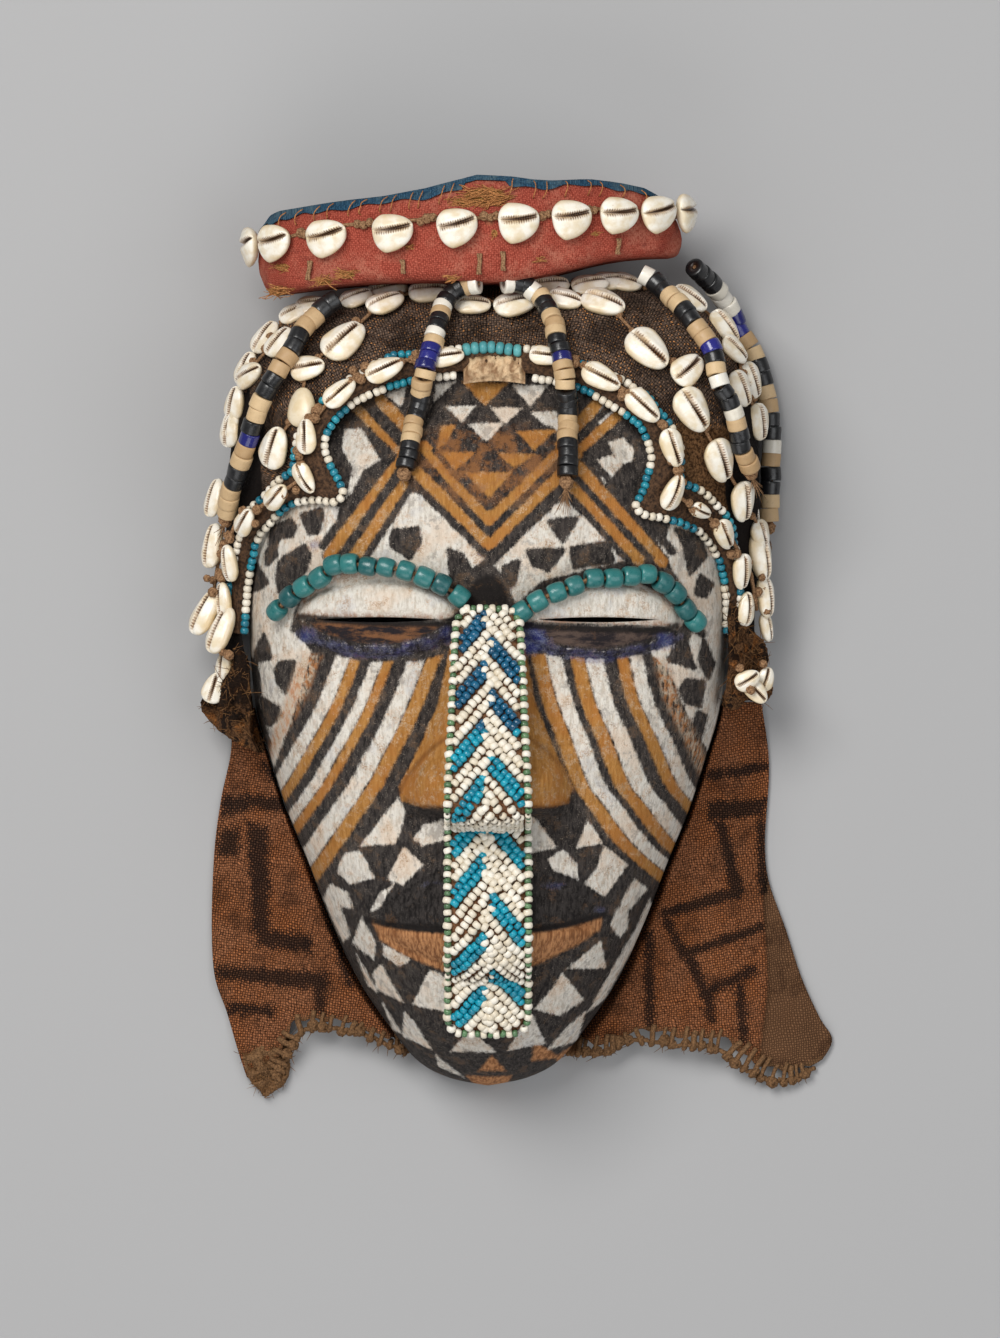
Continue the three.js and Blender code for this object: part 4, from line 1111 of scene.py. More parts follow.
# Where painted shade darkens the creases round the nose's wings and along the nostrils
NOSE_CREASES = [[(446, 738), (432, 748), (420, 760), (408, 776), (401, 790)],
                [(530, 738), (546, 750), (558, 762), (568, 778), (573, 790)]]
NOSTRIL_CREASES = [[(404, 798), (424, 805), (446, 806)], [(530, 806), (552, 805), (568, 800)]]
# How steeply the stripes' fields rise from their edges
STRIPE_SLOPE = 0.85


def ridge_u(side, v):
    """The column of the nose's ridge line at each row of pixels."""
    p = spline(RIDGE[side], 8)
    return np.interp(v, p[:, 1], p[:, 0])


def paint(x, y):
    """The face's painted shapes, as depths in millimetres inside each of them."""
    c = Canvas(x, y)
    far = np.full(x.shape, -50.0)
    smear = np.zeros(x.shape)
    forehead = c.polygon(FOREHEAD)
    lines, bands = c.strokes(OCHRE_LINES, 11.5), c.strokes(BLACK_BANDS, 7.5)
    drawn = np.maximum(lines, bands)
    shapes = np.minimum(c.polygons(FOREHEAD_WHITE), -c.polygons(FOREHEAD_BLACK) - 3)
    yellow = np.maximum(np.minimum(lines, -bands), c.polygons(FOREHEAD_OCHRE))
    ochre = np.maximum(far, np.minimum(yellow, forehead))
    white = np.maximum(far, np.minimum(np.minimum(shapes, -drawn), forehead))
    holes = c.polygons(TEMPLE_BLACK) + 2.5
    for side, way in zip(SIDES, (1, -1)):
        area = c.polygon(TEMPLE_WHITE[side])
        white = np.maximum(white, np.minimum(np.minimum(area, -holes), -drawn - 1))
        cheek, stripes = c.polygon(CHEEK[side]), STRIPES[side]
        off = (ridge_u(side, c.v) - c.u) * way / (1 + np.clip((c.v - 700) / 900, 0, 0.2))

        def striped(spans):
            return c.between(off, spans) * STRIPE_SLOPE

        white = np.where(cheek > 0, np.minimum(white, -striped([(-8, 112)])), white)
        white = np.maximum(white, np.minimum(striped(stripes["white"]), cheek + 2))
        ochre = np.maximum(ochre, np.minimum(striped(stripes["ochre"]), cheek + 2))
        smear = np.maximum(smear, smooth(np.minimum(striped([stripes["smear"]]), cheek), -2, 5))
    mouth, nose = c.polygon(MOUTH_FIELD), c.polygon(NOSE_SHAPE)
    white, ochre = np.where(mouth > 0, far, white), np.where(mouth > 0, far, ochre)
    white = np.maximum(white, np.minimum(c.polygons(JAW_WHITE), mouth + 3))
    white = np.where(nose > -2, np.minimum(white, -nose - 2), white)
    ochre = np.maximum(ochre, nose)
    tan = np.maximum(np.maximum(far, c.polygons(JAW_TAN)), c.polygon(LOWER_LIP))
    blue = far
    for side in SIDES:
        lower = c.polygon(LOWER_LID[side])
        white = np.maximum(white, c.polygon(EYELID[side]))
        white = np.where(lower > 0, -lower, white)
        ochre = np.where(lower > -6, np.minimum(ochre, -lower - 6), ochre)
        tan = np.maximum(tan, lower - 4)
        under = np.minimum(np.minimum(8 - abs(lower + 4.5), 4) - 2.6, (c.v - 638) * 0.5)
        blue = np.maximum(blue, under)
    blue = np.maximum(blue, np.max([c.oval(*spot) for spot in BLUE_SPOTS], axis=0) - 3)
    # Painted shade along the eye slits and in the mouth's groove, and a dark patch between the eyes
    dark = np.maximum(np.maximum(far, c.strokes(LID_LINES, 8)), c.stroke(MOUTH_LINE, 7))
    dark = np.maximum(dark, c.oval(488, 600, 24, 30) - 4)
    gloss = smooth(np.minimum(c.v - 862, 942 - c.v), 0, 12) * smooth(120 - abs(c.u - MIDLINE_U), 0, 16)
    # Painted shade in the creases round the nose's wings and along the nostrils
    crease = np.maximum(smooth(c.strokes(NOSE_CREASES, 7), 0, 3), smooth(c.strokes(NOSTRIL_CREASES, 6), 0, 3))
    lids = np.maximum(*(c.polygon(EYELID[side]) for side in SIDES))
    fields = {"white": white, "ochre": ochre, "tan": tan, "blue": blue, "dark": dark}
    shares = {
        "smear": smear, "gloss": np.maximum(gloss, 0.45 * smooth(mouth, -4, 8)),
        # The lids' edges, under the brow beads and by the slits: painted shade with dirt
        "lid_edge_shade_and_dirt": smooth(lids, -4, 0) * smooth(-lids, -9, -1) * 0.8,
        "rub": smooth(c.oval(486, 464, 92, 54), 0, 26) * smooth(c.v, 414, 440),
        "crease": crease, "eyelid": smooth(lids, -2, 4),
    }
    return {key: field * PIXEL_MM for key, field in fields.items()} | shares


# The carved face

def carving(x, y):
    """Fine relief over the plain carved shape: the upper lip's edges, the mouth's line, nostrils and tool marks."""
    ax = np.abs(x)
    under_edge = -91 - 0.61 * ax - y
    under_fold = -90 - 0.86 * ax - y
    lip_edge = 1.5 * np.exp(-((under_edge / 1.5) ** 2)) - 0.9 * smooth(under_edge, 1, 3.5)
    lip_fold = 1.0 * np.exp(-((under_fold / 1.2) ** 2)) - 1.5 * smooth(under_fold, 0.5, 2.5)
    in_mouth = smooth(50 - ax, 0, 6)
    lip = (lip_edge + lip_fold) * in_mouth * smooth(y, MOUTH_Y - 1, MOUTH_Y + 0.5)
    line = -2.2 * np.exp(-(((y - MOUTH_Y) / 1.6) ** 2)) * in_mouth
    flare = 4.2 * hump(ax, y, 27, -68, 8, 8)
    crease = -0.84 * np.exp(-((np.hypot((ax - 30) / 9, (y + 66) / 13) - 1) / 0.12) ** 2) * (ax > 30)
    tool = 0.28 * np.sin(x * 0.31 + 1.3 * np.sin(y * 0.11)) * np.sin(y * 0.23 + 0.8 * np.sin(x * 0.17))
    return lip + line + flare + crease + tool


def zip_loops(a, b, points):
    """Triangles between two closed loops of vertex numbers that run the same way round."""
    start = int(np.argmin(np.linalg.norm(points[b] - points[a[0]], axis=1)))
    b = np.roll(b, -start)
    i = j = 0
    out = []
    while i < len(a) or j < len(b):
        step_a = i < len(a) and (
            j >= len(b) or (i + 1) / len(a) <= (j + 1) / len(b))
        if step_a:
            out.append((a[i % len(a)], a[(i + 1) % len(a)], b[j % len(b)]))
            i += 1
        else:
            out.append((a[i % len(a)], b[(j + 1) % len(b)], b[j % len(b)]))
            j += 1
    return np.array(out)


def shell_layer(form, ys, columns, height, half_width):
    """Rows of points over the outline, opened along both eye slits; the slit's edge is a doubled row."""
    f = form.face
    t = np.linspace(-1, 1, columns + 1)
    t = t * (1.15 - 0.15 * t * t)
    rows = []
    for y, side in ys:
        x = t * half_width(y)
        reach = np.clip(1 - (np.abs(np.abs(x) - f.eye_x) / f.slit) ** 2, 0, 1)
        opened = f.slit_open * reach * max(0, 1 - abs(y) / 6)
        way = side if side else np.sign(y)
        yy = y + way * opened
        z = height(x, yy)
        z[0] = z[-1] = 0
        rows.append(np.column_stack([x, yy, z]))
    return np.array(rows)


def carved_face(form):
    """The hollow wooden face: an outer and an inner layer, joined along the slits and the rear rim."""
    f = form.face
    t = np.linspace(-1, 1, f.rows + 1)[1:-1]
    ys = lerp(CHIN_Y, CROWN_Y, (t * (1.2 - 0.2 * t * t) + 1) / 2)
    ys = ys[np.abs(ys) > 0.5]

    def with_slit(ys):
        """Heights of rows from the chin up, each with 0, and the slit's two edges between them."""
        return [(y, 0) for y in ys[ys < 0]] + [(0, -1), (0, 1)] + [(y, 0) for y in ys[ys > 0]]

    def outside(x, y):
        """The wood with its fine carving, filled out along the hood's edge so that the border lies close to it."""
        wood = form.wood(x, y)
        beyond = np.hypot(x, y) - hood_start(np.arctan2(y, x))
        filled = smooth(beyond, -15, -1) * smooth(-beyond, -7, -1) * smooth(y, 0, 25)
        gap = np.clip(form.hood_z(x, y) - 6.2 - wood, 0, 9)
        return wood + carving(x, y) * smooth(wood, 4, 20) + gap * filled

    wall = f.wall
    inner_ys = lerp(CHIN_Y + wall, CROWN_Y - wall, (np.linspace(-1, 1, 61)[1:-1] + 1) / 2)
    outer_rows, inner_rows = with_slit(ys), with_slit(inner_ys[np.abs(inner_ys) > 1.5])

    def inside(x, y):
        angle = np.arctan2(y - FACE_CENTRE_Y, x)
        reach = np.hypot(x, y - FACE_CENTRE_Y) / (face_radius(angle) - wall)
        return np.maximum(0, dome(reach, f.height - wall, f.power))

    def inner_half(y):
        src = CHIN_Y + (y - CHIN_Y - wall) * (CROWN_Y - CHIN_Y) / (CROWN_Y - CHIN_Y - 2 * wall)
        return max(1, min(half_width_at(y), half_width_at(src)) - wall)

    outer = shell_layer(form, outer_rows, f.columns, outside, half_width_at)
    inner = shell_layer(form, inner_rows, f.columns, inside, inner_half)
    n_out, n_in, w = len(outer), len(inner), f.columns + 1
    ends = np.array([[0, CHIN_Y, 0], [0, CROWN_Y, 0], [0, CHIN_Y + wall, 0], [0, CROWN_Y - wall, 0]])
    verts = np.vstack([outer.reshape(-1, 3), inner.reshape(-1, 3), ends])
    base_in, base_end = n_out * w, (n_out + n_in) * w
    quads = [grid_faces(n_out, w), grid_faces(n_in, w, start=base_in)[:, ::-1]]
    kept = []
    for q in quads:
        a = verts[q]
        thin = np.linalg.norm(a[:, 0] - a[:, 3], axis=1) + np.linalg.norm(a[:, 1] - a[:, 2], axis=1) < 1e-6
        kept.append(q[~thin])
    slit_out = [i for i, (y, side) in enumerate(outer_rows) if side]
    slit_in = [i for i, (y, side) in enumerate(inner_rows) if side]
    x = outer[slit_out[0], :, 0]
    open_at = np.abs(np.abs(x) - f.eye_x) < f.slit
    gone = np.append(open_at[:-1] | open_at[1:], False)
    for i, (base, slit) in enumerate(((0, slit_out), (base_in, slit_in))):
        first = kept[i].min(axis=1) - base
        kept[i] = kept[i][~((first // w == slit[0]) & gone[first % w])]
    walls = []
    for j in np.flatnonzero(gone):
        for k, way in ((0, 1), (1, -1)):
            a, b = slit_out[k] * w + j, slit_out[k] * w + j + 1
            c, d = base_in + slit_in[k] * w + j + 1, base_in + slit_in[k] * w + j
            walls.append((a, b, c, d)[::way])
    tris = []
    layers = ((0, n_out, base_end, base_end + 1, 1), (base_in, n_in, base_end + 2, base_end + 3, -1))
    for base, n, chin, crown, way in layers:
        for j in range(w - 1):
            tris.append((chin, base + j + 1, base + j)[::way])
            last = base + (n - 1) * w
            tris.append((crown, last + j, last + j + 1)[::way])
    rings = [np.array([chin, *(base + np.arange(n) * w + w - 1), crown, *(base + np.arange(n - 1, -1, -1) * w)])
             for base, n, chin, crown, _ in layers]
    rim = zip_loops(*rings, verts)
    values = paint(verts[:, 0], verts[:, 1])
    values["inside"] = np.repeat([0, 1, 0, 1], [base_in, base_end - base_in, 2, 2])
    values["lid"] = smooth(-np.abs(verts[:, 1] + 8), -14, -8)
    y = verts[:, 1]
    lips = Canvas(verts[:, 0], y).polygon(LOWER_LIP)
    values["lacquer"] = smooth(lips, 0, 6) * 0.9 + 0.25 * smooth(-y, 90, 100) * smooth(y, MOUTH_Y - 5, MOUTH_Y + 1)
    faces = [np.vstack(kept), np.array(walls), np.array(tris), rim]
    place("carved_face", verts, faces, material("painted_wood"), ["wood_face"], "painted_wood", values)


# The hood

def hood(form, rows=62, columns=380):
    """Quilted cloth over the back of the face, lumpy and held down by a seam over the crown."""
    h = form.hood
    u, v = np.meshgrid(np.linspace(0, 1, columns), np.linspace(0, 1, rows), indexing="xy")
    outer, inner = form.hood_point(u, v), form.hood_point(u, v, h.cloth)
    normal = np.cross(np.gradient(outer, axis=1), np.gradient(outer, axis=0))
    normal /= np.linalg.norm(normal, axis=-1)[..., None] + 1e-9
    normal *= np.sign(normal[..., 2:3] + 1e-9)
    x, y = outer[..., 0], outer[..., 1]
    lumps = (1.1 * np.sin(x * 0.11 + 1.2 * np.sin(y * 0.07)) * np.sin(y * 0.13 + 0.5)
             + 0.7 * np.sin(x * 0.27 + y * 0.19 + 2 * np.sin(x * 0.05))
             - 1.6 * np.exp(-(((y - 121 - 5 * np.sin(x * 0.06)) / 2.2) ** 2)) * smooth(52 - np.abs(x + 12), 0, 16))
    outer = outer + normal * (lumps * smooth(v, 0.06, 0.3) * smooth(1 - v, 0, 0.12))[..., None]
    outer[..., 2] = np.maximum(outer[..., 2], 0)
    around = run_of(outer[rows // 2])[None, :] * np.ones((rows, 1))
    down = np.cumsum(np.linalg.norm(np.diff(outer, axis=0, prepend=outer[:1]), axis=2), axis=0)
    weave = np.stack([around, down, 0 * down], -1).reshape(-1, 3)
    wavy = 96 + 7 * np.sin(outer[..., 2] * 0.14 + 0.6) + 3 * np.sin(outer[..., 2] * 0.41)
    sides = smooth(np.abs(x), 91, 98) * smooth(wavy - y, -4, 20)
    right_low = smooth(x, 60, 84) * smooth(88 - y, 0, 14) * smooth(103 - x, 0, 6)
    left_low = smooth(-x, 90, 104) * smooth(-28 - y, 0, 8) * 0.8
    values = {"weave": np.vstack([weave, weave]), "side": np.tile(sides.ravel(), 2),
              "felt": np.tile(np.maximum(right_low, left_low).ravel(), 2)}
    obj = place("hood_cloth", *slab(outer, inner), material("hood_cloth"), ["hood"], "hood_cloth", values)
    area = sheet_area(outer) / 1e6


# The cap

# Holes in the red cloth that show straw: middle and radii, in photo pixels
CAP_HOLES = [(283, 268, 7, 4), (324, 283, 9, 4), (347, 276, 9, 4), (494, 236, 4, 4), (411, 249, 3, 2), (594, 236, 4, 2),
             (485, 199, 21, 9), (462, 205, 9, 4), (276, 292, 12, 5), (452, 281, 6, 3), (540, 262, 3, 2)]


def cap_growth(t):
    """How far the drum bulges, from its lower edge -1 to its upper edge 1, in millimetres."""
    return np.interp(t, [-1, -0.93, -0.8, -0.4, 0, 0.4, 0.75, 0.92, 1], [-5, -2.6, -1, 0.5, 1, 0.8, 0, -1.6, -4])


def cap_band(form, columns=320, rows=36):
    """The stuffed drum: red cloth over straw."""
    a = np.linspace(0, 2 * math.pi, columns, endpoint=False)
    rings = []
    for t in np.linspace(-1, 1, rows):
        lump = 0.5 * np.sin(9 * a + 3 * t) * np.sin(5 * a - 2) + 0.35 * np.sin(23 * a + 4 * t)
        ring = form.cap_point(a, np.full(columns, t), cap_growth(t) + lump * (1 - t**4))
        holes = Canvas(ring[:, 0], ring[:, 1])
        deep = np.max([holes.oval(*h) for h in CAP_HOLES], axis=0) * PIXEL_MM
        ring[:, 2] -= np.where(ring[:, 2] > 30, 1.1 * smooth(deep, -0.3, 0.8), 0)
        rings.append(ring)
    low, high = ([form.cap_point(a, np.full(columns, t + way * 0.05 * (1 - s)), end, s) for s in (0.9, 0.7, 0.45, 0.2)]
                 for t, way, end in ((-1, -1, -5), (1, 1, -4)))
    rings = [*low[::-1], *rings, *high]
    verts = np.vstack([*rings, [rings[0].mean(axis=0), rings[-1].mean(axis=0)]])
    n = len(verts)
    faces = [grid_faces(len(rings), columns, closed=True), fans(len(rings), columns, n - 2, n - 1)]
    c = Canvas(verts[:, 0], verts[:, 1])
    deep = np.max([c.oval(*h) for h in CAP_HOLES], axis=0) * PIXEL_MM
    round_ = np.concatenate([np.tile(a * 66, len(rings)), [0, 0]])
    values = {"weave": np.column_stack([round_, verts[:, 1], 0 * round_]),
              "bare": np.where(verts[:, 2] > 30, deep, -20)}
    obj = place("cap_band_cloth", verts, faces, material("red_cloth"), ["cap_band"], "red_cloth", values)


def cover_edge(form, a):
    """Where the blue cover's turned hem ends on the drum; it is torn over the patch of straw."""
    x = form.cap_point(a, 0.9 + 0 * a)[..., 0]
    torn = smooth(5 - np.abs(x - plan([(486, 0)])[0, 0]) / 2, 0, 1.5)
    wave = 0.035 * np.sin(31 * a) + 0.03 * np.sin(13 * a + 1)
    return np.minimum(0.995, 0.885 + wave + 0.05 * np.cos(a) * (np.cos(a) > 0) + 0.3 * torn)


def cap_cover(form, columns=320):
    """Blue cloth over the cap's end, its hem turned over the edge."""
    a = np.linspace(0, 2 * math.pi, columns, endpoint=False)
    hem = cover_edge(form, a)
    layers = []
    for lift in (1.5, 0.5):
        rings = [form.cap_point(a, lerp(hem, 1, s), np.interp(lerp(hem, 1, s), [0.75, 0.92, 1], [0, -1.6, -4]) + lift)
                 for s in (0, 0.25, 0.5, 0.75, 1)]
        for shrink in (0.97, 0.9, 0.78, 0.62, 0.44, 0.26, 0.1):
            ring = form.cap_point(a, np.full(columns, 1.0), -3.4 + lift, shrink)
            ring[:, 1] += lift + 1.2 * (1 - shrink) + 0.5 * np.sin(5 * a) * shrink
            rings.append(ring)
        layers.append(np.vstack(rings + [rings[-1].mean(axis=0, keepdims=True)]))
    verts, n = np.vstack(layers), len(layers[0])
    j = np.arange(columns)
    k = (j + 1) % columns
    outer = grid_faces(n // columns, columns, closed=True)
    fan = fans(n // columns, columns, 0, n - 1)[columns:]
    rim = np.column_stack([j + n, k + n, k, j])
    values = {"weave": np.column_stack([verts[:, 0], verts[:, 2] + verts[:, 1], 0 * verts[:, 0]])}
    faces = [np.vstack([outer, (outer + n)[:, ::-1], rim]), np.vstack([fan, (fan + n)[:, ::-1]])]
    obj = place("cap_cover_cloth", verts, faces, material("blue_cloth"), ["cap_cover"], "blue_cloth", values)


# Where the stitches are across the cap, in photo pixels
STITCH_U = [282, 298, 317, 330, 352, 363, 383, 394, 412, 421, 443, 452, 512, 535, 546, 566, 589, 600, 622, 643, 666]


# One stitch over the hem: how high on the drum, how far off it, and its slant in radians
STITCH_STEPS = [(0.66, 0.4, 0.012), (0.72, 1.7, 0.008), (0.86, 2.0, 0), (0.97, 1.0, -0.006), (1.04, -1.4, -0.012)]
# Tags of thread along the cap's lower edge: across it, from and to, in photo pixels
TAGS = [(310, 262, 281), (402, 262, 276), (479, 256, 277), (502, 254, 273), (618, 240, 256)]


def cap_stitches(form):
    """Whip stitches of tan thread over the hem of the blue cover."""
    parts = []
    for u in STITCH_U:
        x = form.cap_frame(plan([(u, 205)]))[0, 0]
        angle = math.acos(np.clip(x / form.cap.half_width, -1, 1))
        steps = []
        for t, grow, turn in STITCH_STEPS:
            steps.append(form.cap_point(np.array([angle + turn * rng.uniform(0.5, 2)]), np.array([t]), grow)[0])
        parts.append(tube(spline(steps, 3), 0.24, 5))
    place("cap_stitches", *joined(parts), material("straw"))


def strands_of_straw(form):
    """Straw sticking out of the torn places, and tags of thread along the cap's lower edge."""
    parts, tags = [], []
    for u, v, ru, rv in CAP_HOLES:
        many = int(4 + ru * rv / 3)
        for _ in range(many):
            at = plan([(u + rng.uniform(-ru, ru), v + rng.uniform(-rv, rv))])[0]
            z = form.cap_front(at, 0.6, 1)[0]
            angle = rng.normal(0.05, 0.35) if rv < ru else rng.uniform(0, math.pi)
            half = rng.uniform(1.5, 2 + min(5, ru * 0.3))
            way = np.array([math.cos(angle), math.sin(angle), 0])
            bow = rng.uniform(0.1, 1.0)
            line = [np.array([*at, z]) + way * half * s + [0, rng.normal(0, 0.25), bow * (1 - s * s) - 0.4]
                    for s in (-1, -0.4, 0.2, 1)]
            parts.append(tube(line, rng.uniform(0.12, 0.26), 5))
    for u, top, low in TAGS:
        a, b = plan([(u, top)])[0], plan([(u + rng.uniform(-3, 3), low)])[0]
        for k in range(2):
            line = []
            for s in (0, 0.4, 0.75, 1):
                at = lerp(a, b, s) + [k * 0.9 - 0.4 + 0.4 * math.sin(5 * s + k), 0]
                line.append([*at, form.cap_front(at, 1.6, 2)[0] - 0.6 * s])
            tags.append(tube(spline(line, 3), 0.62, 6))
    place("straw", *joined(parts), material("straw"))
    place("cap_tags", *joined(tags), material("cord"))


# Cowries

# The length that a cowrie is made in, before it is sized
COWRIE_LONG = 17.6


def cowrie_master(size=COWRIE_LONG, rows=26):
    """A money cowrie with its slit up, along X."""
    half, wide, top, back = size / 2, size * 0.365, size * 0.15, size * 0.2
    side = np.array([1, 0.985, 0.94, 0.86, 0.75, 0.62, 0.49, 0.37, 0.27, 0.19, 0.13, 0.08, 0.04])
    across = np.concatenate([side, [0], -side[::-1]])
    under = np.cos(np.linspace(0, math.pi, 9)[1:-1])
    rings = []
    for a in np.linspace(0, math.pi, rows + 1)[1:-1]:
        t = -math.cos(a)
        plump = math.sin(a) ** 0.82
        w = wide * plump * (1 - 0.2 * t + 0.06 * math.exp(-(((t + 0.5) / 0.22) ** 2)))
        y = across * w
        slit_y = 0.008 * (t * half) ** 2 + 0.1 + 0.3 * t
        lips = 0.55 * np.exp(-(((np.abs(y - slit_y) - 1.8) / 1.2) ** 2))
        groove = 2.4 * np.exp(-(((y - slit_y) / (0.5 + 0.25 * max(0, t))) ** 2))
        z = top * plump * (1 - np.abs(across) ** 2.6) ** 0.5 + (lips - groove) * plump
        low = np.column_stack([under[::-1] * w, -back * plump * np.sqrt(1 - under[::-1] ** 2)])
        ring = np.vstack([np.column_stack([y, z]), low])
        rings.append(np.column_stack([np.full(len(ring), t * half), ring]))
    n = len(rings[0])
    verts = np.vstack([*rings, [[-half, -0.2, 0], [half, -0.2, 0]]])
    quads = grid_faces(len(rings), n, closed=True)[:, ::-1]
    ends = fans(len(rings), n, len(verts) - 2, len(verts) - 1)[:, [1, 0, 2]]
    return verts, quads, ends


def cowries(name, origins, axes, replaces=(), plump=1.0):
    """Copies of the cowrie in one mesh, their lower side widened by plump."""
    v, quads, ends = COWRIE
    lower = np.where(v[:, 1:2] < 0, plump, 1) * [0, 1, 0] + [1, 0, 1]
    verts, f = stamp((v * lower, quads), origins, axes)
    _, tips = stamp((v, ends), origins, axes)
    values = {"shell": np.tile(v, (len(origins), 1))}
    place(name, verts, [f, tips], material("shell"), replaces, "cowrie_shell", values)


COWRIE = cowrie_master()


def on_hood(form, x, y, lift, least=0.3):
    """A point lifted off the hood near (x, y), kept inside its outline, and the hood's normal there."""
    x, y = np.atleast_1d(np.asarray(x, float)), np.atleast_1d(np.asarray(y, float))
    angle = np.arctan2(y, x)
    r = np.minimum(np.hypot(x, y), form.hood_end(angle) * 0.985)
    x, y = r * np.cos(angle), r * np.sin(angle)
    n = normals_of(form.hood_z, x, y, 2.0, least)
    return np.stack([x, y, form.hood_z(x, y)], -1) + n * lift, n


# Where the cap's cowries are round its front, in degrees
CAP_SHELL_ANGLES = [9, 29.5, 46, 61.5, 76.5, 93, 110.5, 131, 153, 174]
# Cowries on the hood: photo pixel, tilt in degrees (rising to the right is positive), length in pixels
HOOD_SHELLS = [(473, 311, -15, 37), (515, 311, 20, 43), (386, 309, 40, 40), (346, 346, 50, 50), (280, 448, 60, 44),
               (255, 377, 0, 36), (603, 309, -40, 46), (646, 354, -50, 50), (684, 373, 40, 40), (688, 412, -55, 48),
               (714, 460, -60, 46), (737, 500, -72, 42)]
MORE_SHELLS = [(285, 298, 20, 34), (307, 300, -10, 34), (357, 303, 30, 34), (387, 292, 20, 41), (429, 297, 0, 41),
               (550, 291, 5, 40), (565, 305, -30, 36), (590, 290, 20, 38), (613, 276, 10, 36), (626, 286, -30, 34),
               (311, 372, 0, 36), (306, 410, 90, 40), (283, 346, 55, 36), (255, 322, 60, 38), (233, 351, 60, 36),
               (222, 388, 70, 36), (214, 408, 40, 30), (225, 422, 80, 36), (698, 287, -50, 40),
               (727, 322, -60, 40), (752, 375, -65, 38), (735, 390, -65, 38), (730, 352, -30, 34), (757, 419, -80, 38),
               (756, 535, -60, 34), (228, 666, 78, 30)]
# Cowries that hang over the hood's sides, with their height in millimetres as well
SIDE_SHELLS = [(752, 508, -78, 38, 30), (213, 497, 75, 40, 34), (211, 545, 80, 46, 33), (204, 612, 62, 50, 34),
               (220, 630, 66, 50, 40), (213, 688, 70, 32, 30), (762, 556, -82, 50, 33), (767, 597, -85, 42, 31),
               (768, 627, -80, 30, 28), (748, 680, 30, 27, 49), (757, 692, -50, 27, 46), (766, 679, 70, 25, 42)]
# Knots between them: photo pixel and height
SIDE_TIES = [(212, 592, 38), (206, 578, 36), (222, 652, 42), (228, 655, 44), (763, 577, 36), (768, 611, 33),
             (751, 690, 50), (740, 668, 50), (764, 664, 45)]
BORDER_SHELLS = [(234, 600, 90, 38), (240, 560, 85, 38), (255, 518, 40, 36), (285, 493, 40, 35), (312, 476, -60, 34),
                 (313, 438, 90, 36), (343, 398, 40, 38), (386, 376, 25, 40), (447, 364, 8, 36), (546, 363, -10, 34),
                 (600, 383, -30, 42), (640, 410, -45, 42), (666, 448, -70, 40), (666, 489, 70, 38), (693, 506, -30, 26),
                 (716, 529, -55, 36), (733, 567, -75, 38), (737, 607, 90, 35)]


def seated(form, rows, lift, least=0.3):
    """Origins and axes for cowries given by photo pixel, tilt and length."""
    rows = np.asarray(rows, float)
    at = plan(rows[:, :2])
    origins, n = on_hood(form, at[:, 0], at[:, 1], lift, least)
    a = np.radians(rows[:, 2])
    along = np.stack([np.cos(a), np.sin(a), 0 * a], -1)
    along -= n * (along * n).sum(axis=1)[:, None]
    size = rows[:, 3] * PIXEL_MM / COWRIE_LONG
    return origins, axes_along(along, n, size)


def all_cowries(form):
    """All the shells and the knots at the sides; gives back where the hood's and the border's are."""
    c = form.cap
    angles = np.radians(CAP_SHELL_ANGLES)
    tilt = math.radians(c.tilt)
    for i, a in enumerate(angles):
        n = np.array([math.cos(a) / c.half_width, math.sin(a) / c.half_depth])
        n /= np.linalg.norm(n)
        normal = np.array([n[0] * math.cos(tilt), n[0] * math.sin(tilt), n[1]])
        along = np.array([-n[1] * math.cos(tilt), -n[1] * math.sin(tilt), n[0]])
        node = f"cap_cowrie_{i + 1}"
        low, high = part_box(node)
        centre = np.array((low + high) / 2) * 1000 - shift() + normal * 0.4
        wobble = rng.normal(0.08, 0.06)
        axes = turned(axes_along(-along[None], normal[None], 0.98), np.array([wobble]), 2)
        axes = axes * [[[rng.uniform(0.98, 1.06)], [rng.uniform(0.98, 1.08)], [1.15]]]
        cowries(f"cap_shell_{i + 1}", centre[None], axes, [node], rng.uniform(1.35, 1.5))
    origins, axes = seated(form, HOOD_SHELLS, 3.4, 0.7)
    for i in range(len(HOOD_SHELLS)):
        cowries(f"hood_shell_{i + 1}", origins[i:i + 1], axes[i:i + 1], [f"hood_cowrie_{i + 1}"])
    more, axes2 = seated(form, MORE_SHELLS, 3.2, 0.85)
    axes2[11] = turned(axes2[11:12], np.array([math.pi]))[0]
    cowries("more_hood_shells", more, axes2)
    rows = np.array(SIDE_SHELLS, float)
    a, at = np.radians(rows[:, 2]), np.column_stack([plan(rows[:, :2]), rows[:, 4]])
    along = np.stack([np.cos(a), np.sin(a), 0 * a], -1)
    up = np.stack([np.sign(at[:, 0]) * np.where(rows[:, 1] < 650, 1.3, 0.3), 0 * a, 1 + 0 * a], -1)
    slim = np.where(rows[:, 1] < 650, 0.78, 1)[:, None, None] * [[0], [1], [0]] + [[1], [0], [1]]
    cowries("side_shells", at, axes_along(along, up, rows[:, 3] * PIXEL_MM / COWRIE_LONG) * slim)
    ties = np.array(SIDE_TIES, float)
    knots("side_knots", np.column_stack([plan(ties[:, :2]), ties[:, 2]]), rng.uniform(0.9, 1.3, len(ties)))
    border, axes3 = seated(form, BORDER_SHELLS, 6.2, 0.5)
    axes3 = axes3 * [[[1], [0.8], [0.95]]]
    cowries("border_shells", border, axes3)
    return origins, more, border


